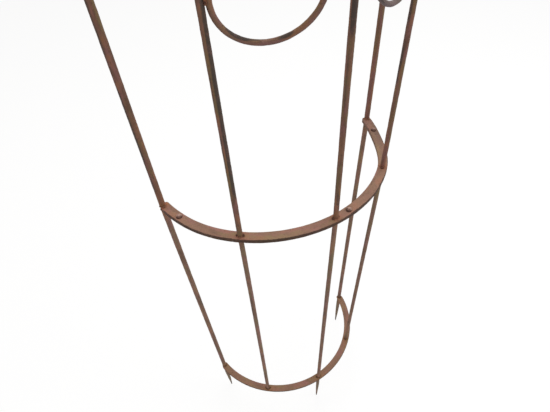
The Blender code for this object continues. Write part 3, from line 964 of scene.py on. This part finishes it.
# Radius = tip + (full - tip) ((1 + f) s - f s cubed), where s is the share of the taper and f the fullness
def makeSpike(number):
    name = f"ground_spike_{number}"
    tip = spike["tip"]
    fullness = spike["fullness"]
    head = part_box("bottom_band")[0].z
    seed = 700 + number * 13
    height = np.linspace(0.0, head + spike["sink"], int(head / spike["stationGap"]))[:, None]
    turn = fullTurn(spike["sides"])
    share = np.clip(height / spike["taper"], 0.0, 1.0)
    radius = tip + (rodRadius(number) - tip) * ((1.0 + fullness) * share - fullness * share**3)
    squared = spike["squareness"] * (1.0 - smoothRise(share, *spike["roundFrom"]))
    flat = 1.0 / np.maximum(np.abs(np.cos(turn)), np.abs(np.sin(turn)))
    shape = 1.0 + squared * (np.minimum(flat, spike["squareMost"]) - spike["squareMean"])
    outward = turned(turn + seed, 1.0, 0.0)
    plain = rodAxis("lower", number, height) + outward * (radius * shape)[..., None]
    hammered = (valueNoise(plain, spike["hammerSize"], seed + 5) - 0.5) * spike["hammerDepth"]
    nearWeld = np.exp(-(head - height) / spike["weldReach"]) * spike["weldShare"]
    clean = smoothRise(height, spike["soilLow"], spike["soilHigh"])
    place = pointsOf(height + patternStart(seed), radius * np.cos(turn), radius * np.sin(turn))
    where = smoothRise(share, 0.0, spike["smoothTip"])
    marks = {"nearWeld": nearWeld, "burnt": spike["soilShare"] * (1.0 - clean)}
    skin = rustedSkin(plain, outward, place, seed, extra=hammered, where=where, **marks)
    makePiece(f"{name}_bar", [skin], "spike", name)


for number in spike["rods"]:
    makeSpike(number)
print("spikes:", len(spike["rods"]))


# Weld where a bar stands on a band: a rounded lip with two main lumps on the band's length. Each wave has its
# count round the bar and its share. The oval's foot lies a share of its size inwards. Past the end of a band
# the lip loses shares of its width and height. Heights: the least, what a lump adds, and a wave's share.
weld = {
    "width": 0.0021,
    "height": 0.0030,
    "buried": 0.0006,
    "footShare": 0.15,
    "lump": 0.75,
    "plain": 0.62,
    "waves": ((2.0, 0.10), (3.0, 0.08), (5.0, 0.06)),
    "ripples": 17.0,
    "ripple": 0.07,
    "heights": (0.70, 0.30, 0.12),
    "pastEnd": (0.05, 0.75),
    "lostWidth": 0.85,
    "lostHeight": 0.75,
    "reliefShare": 1.1,
    "burntSize": 0.0022,
    "burntRise": (0.15, 0.5),
    "burntLump": (0.20, 0.75),
    "sides": 72,
    "sectionSteps": 22,
}
# Which way a band ends beyond its end rods
bandEnds = {1: -1.0, 5: 1.0}


# Half oval: the wave times the size outwards, and times the foot and the buried depth inwards
def ovalPart(wave, size):
    foot = size * weld["footShare"]
    return foot + wave * np.where(wave > 0.0, size - foot, foot + weld["buried"])


# Lip = a half oval of width and height, times (plain + lump cos to the fourth from the band's direction) and
# a ripple round the bar. It runs out over the end of the band. Dirt darkens it all round.
def weldCollar(centre, away, number, darkening, seed):
    phase = np.random.default_rng(seed).uniform(0.0, 2.0 * math.pi, 5)
    turn = fullTurn(weld["sides"])[:, None]
    lean = fullTurn(weld["sectionSteps"])
    alongBand = np.cos(turn - rodAngles[number])
    toBand = alongBand**4
    lumps = weld["plain"] + weld["lump"] * toBand
    for start, (count, share) in zip(phase, weld["waves"]):
        lumps = lumps + share * np.sin(count * turn + start)
    wave = np.sin(weld["ripples"] * turn + 1.2 * np.sin(lean) + phase[3])
    ripple = 1.0 + weld["ripple"] * wave
    pastEnd = smoothRise(alongBand * bandEnds.get(number, 0.0), *weld["pastEnd"])
    width = weld["width"] * lumps * ripple * (1.0 - weld["lostWidth"] * pastEnd)
    least, added, waved = weld["heights"]
    height = weld["height"] * (least + added * toBand + waved * np.sin(turn + phase[4])) * ripple
    height = height * (1.0 - weld["lostHeight"] * pastEnd)
    out = rodRadius(number) + ovalPart(np.cos(lean), width)
    plain = centre + turned(turn, out, away * ovalPart(np.sin(lean), height))
    # The lumps are darkened in patches: burn with painted shade beneath them
    burnt = smoothRise(valueNoise(plain, weld["burntSize"], seed + 7), *weld["burntRise"])
    burnt = np.maximum(burnt * smoothRise(toBand, *weld["burntLump"]) * burnAndShadeSpots[number], darkening)
    outward = turned(turn, 1.0, 0.0)
    place = ownPlace(plain - centre, seed)
    marks = {"nearWeld": 0.8, "burnt": burnt}
    return rustedSkin(plain, outward, place, seed, weld["reliefShare"], wraps=True, **marks)


# Spatter thrown from the weld: how many balls, how far they fly beyond the least gap, their sizes, and how
# far inside the band's edge and ends they stay
spatter = {
    "count": (5, 9),
    "leastGap": 0.0008,
    "flight": 0.0035,
    "radius": (0.00028, 0.00060),
    "insideEdge": 0.0045,
    "insideEnd": 0.006,
    "sides": 9,
    "rows": 5,
    "leanMost": 0.42,
    "marks": {"crust": 0.4, "nearWeld": 0.5, "burnt": 0.3},
}


# Half-sunk ball, open by a little at its poles, which fans close
def spatterBall(centre, radius, seed):
    most = spatter["leanMost"] * math.pi
    lean = np.linspace(-most, most, spatter["rows"])[:, None]
    ball = turned(fullTurn(spatter["sides"]), np.cos(lean), np.sin(lean)) * radius
    return gridSkin(centre + ball, ownPlace(ball, seed), spatter["marks"])


# Balls round one weld: their distance falls off exponentially, and none lies off the band
def bandSpatter(radius, number, level, seed):
    random = np.random.default_rng(seed + 5000)
    angle = rodAngles[number]
    nearest = rodRadius(number) + weld["width"] + spatter["leastGap"]
    balls = []
    for _ in range(random.integers(*spatter["count"])):
        gap = nearest + random.exponential(spatter["flight"])
        way = random.uniform(0.0, 2.0 * math.pi)
        side = gap * math.cos(way)
        ballAngle = angle + gap * math.sin(way) / radius
        size = random.uniform(*spatter["radius"])
        onWidth = abs(side) < bandStock["width"] / 2.0 - spatter["insideEdge"]
        onLength = abs(ballAngle) < rodAngles[5] - spatter["insideEnd"] / radius
        if onWidth and onLength:
            balls.append(spatterBall(polar(radius + side, ballAngle, level), size, seed))
    return balls


# Welds by the band and the face that they stand on, 1 for its top and -1 for its bottom
weldGroups = {
    "bottom_band_welds": ("bottom_band", 1, allRods, "soiledWeld", "rod_iron", 210),
    "spike_welds": ("bottom_band", -1, spike["rods"], "soiledWeld", "spike_iron", 230),
    "lower_middle_band_welds": ("lower_middle_band", -1, allRods, "weld", "rod_iron", 250),
    "upper_middle_band_welds": ("upper_middle_band", 1, allRods, "weld", "rod_iron", 270),
    "top_band_welds": ("top_band", -1, allRods, "weld", "rod_iron", 290),
}
weldDirt = {"soiledWeld": 0.6, "weld": 0.0}


# The collars and spatter on one face of one band
def makeWelds(name):
    band, away, numbers, finish, slot, seed = weldGroups[name]
    radius = bands[band]["radius"]
    low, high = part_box(band)
    level = high.z if away > 0 else low.z
    skins = []
    for number in numbers:
        foot = polar(radius, rodAngles[number], level)
        skins.append(weldCollar(foot, away, number, weldDirt[finish], seed + number))
        skins += bandSpatter(radius, number, level, seed + number)
    makePiece(name, skins, finish)


for name in weldGroups:
    makeWelds(name)
print("welds on bands:", len(weldGroups))


# Rings of bent bar in the flat field between two upper rods, low ones against the outer rod and high ones
# against the middle rod. They lean out of it, the low one's top outwards by the lean in degrees and the high
# one's inwards, so that they meet halfway. The seam is where the bar's ends meet, in degrees round the ring.
ring = {
    "bar": 0.004,
    "sides": 28,
    "steps": 380,
    "seat": 0.0003,
    "twoWaves": 0.00022,
    "threeWaves": 0.00012,
    "warp": 0.0003,
    "seam": {"low": 95.0, "high": 250.0},
    "seamLength": 0.0022,
    "seamHeight": 0.0006,
    "seamRipples": 6.0,
    "seamRipple": 0.25,
    "seamBurnt": 0.5,
    "coreSteps": 1080,
}
ringPairs = {
    "left": {"outerRod": 2, "lean": 17.0, "finish": "ring", "seed": 17},
    "right": {"outerRod": 4, "lean": -5.0, "finish": "coolRing", "seed": 43},
}

# Mill scale on the low left ring: its middle and half length round the ring, its side and half width round
# the bar, from 0 outside over -90 in front, all in degrees, and how much of it shows
ringStreaks = {
    "ring_left_low": (
        {"at": 232.0, "reach": 27.0, "side": -164.0, "spread": 85.0, "share": 1.3},
        {"at": 290.0, "reach": 18.0, "side": -156.0, "spread": 90.0, "share": 0.9},
    ),
}


# The flat field between the middle rod and its neighbour: foot, directions across to the middle rod, up and
# outwards (up x across), how each rod runs, and half the distance between their axes, which grows evenly
class Field:
    def __init__(self, outerRod):
        low, high = sections["upper"]["levels"]
        outerLow, outerHigh = (rodAxis("upper", outerRod, level) for level in (low, high))
        innerLow, innerHigh = (rodAxis("upper", middleRod, level) for level in (low, high))
        rise = (outerHigh + innerHigh - outerLow - innerLow) / 2.0
        self.foot = (outerLow + innerLow) / 2.0
        self.across = unit(innerLow - outerLow)
        self.up = unit(rise)
        outwards = np.cross(self.up, self.across)
        self.outwards = outwards * np.sign(outwards @ (self.foot - np.array([0.0, arcCentreY, low])))
        self.outerRun = unit(outerHigh - outerLow)
        self.innerRun = unit(innerHigh - innerLow)
        self.halfLow = np.linalg.norm(innerLow - outerLow) / 2.0
        halfHigh = np.linalg.norm(innerHigh - outerHigh) / 2.0
        self.spread = (halfHigh - self.halfLow) / np.linalg.norm(rise)

    # A ring's centre: (radius + bar) times the rise of its upright below its node's top, and radius + bar +
    # rod radius + seat from the axis of its own rod, which lies towards minus or plus along "across"
    def centre(self, node, ringUp, radius, towardsRod, rod):
        reach = radius + ring["bar"]
        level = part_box(node)[1].z - reach * ringUp[2]
        height = (level - self.foot[2]) / self.up[2]
        clear = (reach + rodRadius(rod) + ring["seat"]) * math.hypot(1.0, self.spread)
        aside = self.halfLow + self.spread * height - clear
        return self.foot + self.up * height + self.across * (towardsRod * aside)


# Core = centre + (across cos + up sin) (radius + a little unevenness), with the bar's section carried round
# it and a low bead on the seam
def makeRing(node, centre, radius, across, up, finish, seed):
    bar = ring["bar"]
    normal = np.cross(up, across)
    turn = fullTurn(ring["steps"])[:, None]
    lean = fullTurn(ring["sides"])
    uneven = ring["twoWaves"] * np.sin(2.0 * turn + seed)
    uneven = uneven + ring["threeWaves"] * np.sin(3.0 * turn + 2.0 * seed)
    warped = ring["warp"] * np.sin(2.0 * turn + 1.7 * seed)
    outward = across * np.cos(turn)[..., None] + up * np.sin(turn)[..., None]
    core = centre + outward * (radius + uneven)[..., None] + normal * warped[..., None]
    fromSeam = np.radians(degreesFrom(turn, ring["seam"][node.split("_")[-1]])) * radius
    seam = bell(fromSeam, ring["seamLength"])
    rippled = 1.0 + ring["seamRipple"] * np.sin(ring["seamRipples"] * lean + seed)
    seamBead = seam * ring["seamHeight"] * rippled
    barOut = outward * np.cos(lean)[..., None] + normal * np.sin(lean)[..., None]
    bare = np.zeros_like(seamBead)
    for streak in ringStreaks.get(node, ()):
        along = hump(degreesFrom(turn, streak["at"]), streak["reach"])
        about = hump(degreesFrom(lean, streak["side"]), streak["spread"])
        bare = np.maximum(bare, along * about * streak["share"])
    place = pointsOf(turn * radius + patternStart(seed), bar * np.cos(lean), bar * np.sin(lean))
    marks = {"nearWeld": seam, "burnt": seam * ring["seamBurnt"], "bare": bare}
    skin = rustedSkin(core + barOut * bar, barOut, place, seed * 3 + 900, extra=seamBead, wraps=True, **marks)
    makePiece(f"{node}_bar", [skin], finish, node)


# Weld stitch in the groove between two bars: a long bead, rippled along its length
bead = {
    "diameter": 0.0044,
    "length": 0.0080,
    "bite": 0.0010,
    "ripples": 30.0,
    "ripple": 0.09,
    "bluntness": 0.8,
    "nearWeld": 0.8,
    "burntSize": 0.003,
    "burntRise": (0.35, 0.65),
    "burntShare": 0.8,
    "sides": 24,
    "steps": 40,
}


# Radius = half the diameter times the root of (1 - run squared) to the bluntness, times a ripple along it
def stitch(centre, along, out, seed):
    third = np.cross(along, out)
    turn = fullTurn(bead["sides"])
    run = np.linspace(-0.97, 0.97, bead["steps"])[:, None]
    ripple = 1.0 + bead["ripple"] * np.sin(bead["ripples"] * run + 1.5 * np.cos(turn) + seed)
    radius = bead["diameter"] / 2.0 * np.sqrt(1.0 - run * run) ** bead["bluntness"] * ripple
    spread = out * np.cos(turn)[..., None] + third * np.sin(turn)[..., None]
    plain = centre + along * (run * bead["length"] / 2.0)[..., None] + spread * radius[..., None]
    burnt = smoothRise(valueNoise(plain, bead["burntSize"], seed + 7), *bead["burntRise"])
    marks = {"nearWeld": bead["nearWeld"], "burnt": bead["burntShare"] * burnt}
    return rustedSkin(plain, spread, ownPlace(plain - centre, seed), seed, **marks)


# Two stitches, before and behind, in the groove between a ring's bar and its neighbour. Their distances
# to the two bars' cores are known, which gives their places as two circles' crossings.
def stitchPair(core, towards, along, otherRadius, seed):
    towards = unit(towards)
    normal = unit(np.cross(along, towards))
    ownRadius = ring["bar"]
    reach = ownRadius + otherRadius + ring["seat"]
    own = ownRadius + bead["diameter"] / 2.0 - bead["bite"]
    other = otherRadius + bead["diameter"] / 2.0 - bead["bite"] * 0.5
    share = (own * own - other * other + reach * reach) / (2.0 * reach)
    lift = math.sqrt(own * own - share * share)
    front = stitch(core + towards * share - normal * lift, along, -normal, seed)
    back = stitch(core + towards * share + normal * lift, along, normal, seed + 1)
    return [front, back]


# Core circle of a ring as points, and the way the bar runs at each
def ringCore(centre, radius, across, up):
    turn = fullTurn(ring["coreSteps"])[:, None]
    points = centre + (across * np.cos(turn) + up * np.sin(turn)) * radius
    return points, up * np.cos(turn) - across * np.sin(turn)


# A low and a high ring, stitched to their rods and, where their cores come nearest, to each other. Radius =
# half the node's height over how upright the ring stands, less the bar.
def makeRingPair(side):
    pair = ringPairs[side]
    seed = pair["seed"]
    outerRod = pair["outerRod"]
    field = Field(outerRod)
    lean = math.radians(pair["lean"])
    upright = field.up * math.cos(lean)
    leaning = field.outwards * math.sin(lean)
    foot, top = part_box(f"ring_{side}_low")
    radius = (top.z - foot.z) / 2.0 / (upright + leaning)[2] - ring["bar"]
    low = ("low", -1.0, outerRod, field.outerRun, seed, 610 + seed)
    high = ("high", 1.0, middleRod, field.innerRun, seed + 5, 620 + seed)
    cores = []
    skins = []
    for level, towards, rod, run, ringSeed, stitchSeed in (low, high):
        node = f"ring_{side}_{level}"
        up = upright - leaning * towards
        centre = field.centre(node, up, radius, towards, rod)
        makeRing(node, centre, radius, field.across, up, pair["finish"], ringSeed)
        way = unit(np.cross(run, np.cross(field.across * towards, run)))
        skins += stitchPair(centre + way * radius, way, run, rodRadius(rod), stitchSeed)
        cores.append(ringCore(centre, radius, field.across, up))
        print(node, "radius", round(float(radius), 5), "centre", centre.round(5))
    (lowPoints, lowRuns), (highPoints, _) = cores
    apart = np.linalg.norm(lowPoints[:, None, :] - highPoints[None, :, :], axis=-1)
    lowMeets, highMeets = np.unravel_index(apart.argmin(), apart.shape)
    falling = lowPoints[lowMeets] - highPoints[highMeets]
    skins += stitchPair(highPoints[highMeets], falling, lowRuns[lowMeets], ring["bar"], 630 + seed)
    makePiece(f"ring_{side}_welds", skins, "weld")


for side in ringPairs:
    makeRingPair(side)
print("rings: 4, with their stitches")


# Bolt through both middle bands, with a raised pan head on top and a thread on its tail, and its nut
bolt = {
    "radius": 0.003,
    "headRadius": 0.0055,
    "headGap": 0.00005,
    "wallShare": 0.42,
    "wallTaper": 0.0002,
    "threadPitch": 0.001,
    "threadDepth": 0.00045,
    "tailLead": 0.0008,
    "tailTaper": 0.0005,
    "nutWidth": 0.010,
    "nutPlay": 0.0001,
    "coneShare": 0.97,
    "coneSlope": 1.5,
    "sides": 56,
    "nutSides": 96,
    "shankSteps": 110,
    "underSteps": 6,
    "wallSteps": 7,
    "crownSteps": 18,
    "nutSteps": 22,
    "nutFaceSteps": 7,
    "reliefShare": 0.8,
    "nutReliefShare": 0.7,
    # The head's wall gets painted shade below its top, and one side of the head painted shade with caked dirt
    "wallShadeFade": 0.0006,
    "edgeShare": 1.3,
    "nutEdge": (0.8, 1.0),
    "shadeDirtRound": 0.7,
    "shadeDirtIn": 0.5,
    "shadeDirtShare": 0.85,
}

# Which side of each bolt's head is painted dark, painted shade with caked dirt, in degrees from +X, how far
# round it goes (cos of the angle where it ends) and how far in, as a share of the head's radius
boltShadeAndDirt = {
    "left": {"side": -110.0, "roundTo": -0.10, "inTo": 0.20},
    "middle": {"side": -160.0, "roundTo": -0.45, "inTo": 0.00},
    "right": {"side": -135.0, "roundTo": -0.70, "inTo": -0.30},
}


# Rows of a turned profile under each other, each as wide as the turn
def stacked(rows, columns):
    return np.concatenate([np.broadcast_to(row, (len(row), columns)) for row in rows])


# Turned profile of radius over height. The head's wall is straight, then radius = lip cos and height =
# rise sin of a quarter turn. Thread = depth times a triangle wave of (height / pitch - turn).
def makeBolt(side, seed):
    node = f"joint_bolt_{side}"
    low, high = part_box(node)
    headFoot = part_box("upper_middle_band")[1].z + bolt["headGap"]
    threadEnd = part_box("lower_middle_band")[0].z
    rise = high.z - headFoot
    lip = bolt["headRadius"]
    sides = bolt["sides"]
    turn = fullTurn(sides)
    shank = np.linspace(low.z, headFoot, bolt["shankSteps"])[:, None]
    lead = smoothRise(shank, low.z, low.z + bolt["tailLead"])
    phase = shank / bolt["threadPitch"] - turn / (2.0 * math.pi)
    thread = np.abs(2.0 * (phase - np.floor(phase)) - 1.0) * bolt["threadDepth"]
    thread = thread * (shank < threadEnd) * lead
    shankRadius = bolt["radius"] - thread - bolt["tailTaper"] * (1.0 - lead)
    under = np.linspace(bolt["radius"], lip, bolt["underSteps"])[:, None]
    wall = np.linspace(0.0, 1.0, bolt["wallSteps"])[:, None]
    wallHeight = headFoot + wall * rise * bolt["wallShare"]
    wallTop = wallHeight[-1, 0]
    crown = np.linspace(0.0, 0.94 * math.pi / 2.0, bolt["crownSteps"])[1:, None]
    crownHeight = wallTop + rise * (1.0 - bolt["wallShare"]) * np.sin(crown)
    radii = (shankRadius, under, lip - bolt["wallTaper"] * (1.0 - wall), lip * np.cos(crown) ** 0.8)
    radius = stacked(radii, sides)
    height = stacked((shank, np.full_like(under, headFoot), wallHeight, crownHeight), sides)
    onHead = height > headFoot
    # The head's wall is painted dark up to near its top: painted shade under the crown
    edge = 1.0 - smoothRise(height, wallHeight[3, 0], wallTop + bolt["wallShadeFade"])
    edge = edge * onHead * bolt["edgeShare"]
    darkening = boltShadeAndDirt[side]
    roundTo = darkening["roundTo"]
    inTo = darkening["inTo"]
    # One side of the head is painted dark: painted shade with caked dirt
    shadedAndCaked = smoothRise(np.cos(turn - math.radians(darkening["side"])), roundTo, roundTo + bolt["shadeDirtRound"])
    shadedAndCaked = shadedAndCaked * smoothRise(radius / lip, inTo, inTo + bolt["shadeDirtIn"]) * onHead
    marks = {"where": onHead, "nearEdge": edge, "burnt": shadedAndCaked * bolt["shadeDirtShare"]}
    plain = turned(turn, radius, height)
    place = plain + patternStart(seed)
    outward = turned(turn, 1.0, 0.0)
    skin = rustedSkin(plain + boltFoot(side), outward, place, seed, bolt["reliefShare"], **marks)
    makePiece(f"{node}_dressed", [skin], "bolt", node)


# Hexagon nut: radius = half the width over cos of the angle from the nearest flat, cut back by a cone above
# and below, with a round bore
def makeNut(side, seed):
    node = f"joint_nut_{side}"
    low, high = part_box(node)
    sides = bolt["nutSides"]
    turn = fullTurn(sides)
    halfWidth = bolt["nutWidth"] / 2.0
    halfSide = math.pi / 6.0
    fromFlat = np.mod(turn + halfSide + seed * 0.4, 2.0 * halfSide) - halfSide
    bore = bolt["radius"] + bolt["nutPlay"]
    level = np.linspace(low.z, high.z, bolt["nutSteps"])[:, None]
    cone = halfWidth * bolt["coneShare"]
    cone = cone + np.minimum(level - low.z, high.z - level) * bolt["coneSlope"]
    outer = np.minimum(halfWidth / np.cos(fromFlat), cone)
    face = np.linspace(0.0, 1.0, bolt["nutFaceSteps"])[:-1, None]
    wall = level[::-1][1:-1]
    lowFace = bore + (outer[:1] - bore) * face
    highFace = bore + (outer[-1:] - bore) * face[::-1]
    radius = stacked((lowFace, outer, highFace, np.full_like(wall, bore)), sides)
    height = stacked((np.full_like(face, low.z), level, np.full_like(face, high.z), wall), sides)
    outside = radius > bore * 1.02
    edge = smoothRise(np.abs(fromFlat) / halfSide, *bolt["nutEdge"]) * outside
    plain = turned(turn, radius, height)
    marks = {"where": outside, "wraps": True, "nearEdge": edge}
    outward = turned(turn, 1.0, 0.0)
    skin = rustedSkin(plain + boltFoot(side), outward, plain, seed, bolt["nutReliefShare"], **marks)
    makePiece(f"{node}_dressed", [skin], "bolt", node)


for place, side in enumerate(boltSides):
    makeBolt(side, 810 + place * 7)
    makeNut(side, 840 + place * 7)
print("bolts and nuts: 6")


# Plain pale floor under the spikes' tips, seen near white but keeping the shadow, and soft light
stage = {
    "floorSize": 14.0,
    "floorLevel": -0.0004,
    "floorLines": 9,
    "floorColour": 0.72,
    "whiteShare": 0.78,
    "white": (1.0, 1.0, 1.0, 1.0),
    "worldColour": (1.0, 0.99, 0.98, 1.0),
    "worldStrength": 0.70,
}


# One shader for what the camera, a glossy or a transmission ray meets, another for diffuse light
def seenAs(finish, white, soft):
    rays = ("Is Camera Ray", "Is Glossy Ray", "Is Transmission Ray")
    camera, glossy, through = [finish.node("ShaderNodeLightPath", {}, {}, ray) for ray in rays]
    share = (camera + glossy + through).clipped()
    return finish.node("ShaderNodeMixShader", {}, {0: share, 1: soft, 2: white})


# Level grid. Its white is a share of glow plus a diffuse colour of 1 - share.
def makeFloor():
    reach = stage["floorSize"] / 2.0
    lines = np.linspace(-reach, reach, stage["floorLines"])
    points = pointsOf(lines, lines[:, None], stage["floorLevel"])
    index = np.arange(lines.size**2).reshape(lines.size, -1)
    faces = np.stack([index[:-1, :-1], index[:-1, 1:], index[1:, 1:], index[1:, :-1]], axis=-1)
    mesh = bpy.data.meshes.new("floor")
    mesh.from_pydata(points.reshape(-1, 3).tolist(), [], faces.reshape(-1, 4).tolist())
    material = bpy.data.materials.new("paleFloor")
    finish = Finish(material)
    grey = stage["floorColour"]
    share = stage["whiteShare"]
    lit = 1.0 - share
    plain = finish.node("ShaderNodeBsdfDiffuse", {}, {"Color": (grey, grey, grey, 1.0)})
    faint = finish.node("ShaderNodeBsdfDiffuse", {}, {"Color": (lit, lit, lit, 1.0)})
    glow = finish.node("ShaderNodeEmission", {}, {"Color": stage["white"], "Strength": share})
    white = finish.node("ShaderNodeAddShader", {}, {0: faint, 1: glow})
    finish.node("ShaderNodeOutputMaterial", {}, {"Surface": seenAs(finish, white, plain)})
    mesh.materials.append(material)
    addObject("floor", mesh)


# Even soft light from all round, seen as white
def makeWorld():
    world = bpy.data.worlds.new("softStudio")
    bpy.context.scene.world = world
    sky = Finish(world)
    light = {"Color": stage["worldColour"], "Strength": stage["worldStrength"]}
    soft = sky.node("ShaderNodeBackground", {}, light)
    white = sky.node("ShaderNodeBackground", {}, {"Color": stage["white"], "Strength": 1.0})
    sky.node("ShaderNodeOutputWorld", {}, {"Surface": seenAs(sky, white, soft)})


# Soft lamps: each is a square placed by its position, aimed at a point, with its power in watts
lamps = {
    "overhead": {"at": (0.9, 0.7, 4.2), "aim": (0.0, 0.0, 0.9), "size": 3.0, "power": 62.0},
    "side": {"at": (2.9, -1.9, 2.6), "aim": (0.0, 0.0, 0.9), "size": 2.0, "power": 30.0},
}


# A lamp or camera in the scene: its matrix has the columns right, up, back = right x up, and its position
def placed(name, data, right, up, at):
    columns = (right, up, np.cross(right, up), at)
    rows = np.array(columns).T.tolist()
    holder = addObject(name, data)
    holder.matrix_world = Matrix([*rows, (0.0, 0.0, 0.0, 1.0)])
    return holder


# Right = way x upright and up = right x way, where the way is from the lamp to its aim
def makeLamps():
    for name, values in lamps.items():
        light = bpy.data.lights.new(name, "AREA")
        light.size = values["size"]
        light.energy = values["power"]
        way = unit(np.array(values["aim"]) - np.array(values["at"]))
        right = unit(np.cross(way, (0.0, 0.0, 1.0)))
        placed(name, light, right, np.cross(right, way), values["at"])


# The photograph's viewpoint: a standing person looks down over the front left of the arc. Degrees: the
# heading goes from +Y towards +X, the dip downwards, and the roll clockwise.
viewpoint = {
    "at": (-0.35525, -0.52030, 1.50475),
    "heading": 28.785,
    "dip": 45.159,
    "roll": 4.045,
    "lens": 27.525,
    "sensor": 36.0,
    "nearest": 0.02,
}


# Ahead = (sin heading cos dip, cos heading cos dip, -sin dip). Right = level right x cos roll - level up
# x sin roll, and up = right x ahead.
def makeCamera():
    camera = bpy.data.cameras.new("viewpoint")
    camera.lens = viewpoint["lens"]
    camera.sensor_width = viewpoint["sensor"]
    camera.clip_start = viewpoint["nearest"]
    heading, dip, roll = (math.radians(viewpoint[key]) for key in ("heading", "dip", "roll"))
    level = math.cos(dip)
    ahead = np.array([math.sin(heading) * level, math.cos(heading) * level, -math.sin(dip)])
    levelRight = np.array([math.cos(heading), -math.sin(heading), 0.0])
    right = levelRight * math.cos(roll) - np.cross(levelRight, ahead) * math.sin(roll)
    holder = placed("viewpoint", camera, right, np.cross(right, ahead), viewpoint["at"])
    bpy.context.scene.camera = holder


makeFloor()
makeWorld()
makeLamps()
makeCamera()
bpy.context.scene.view_settings.view_transform = "Standard"
print("stage, lamps and camera")
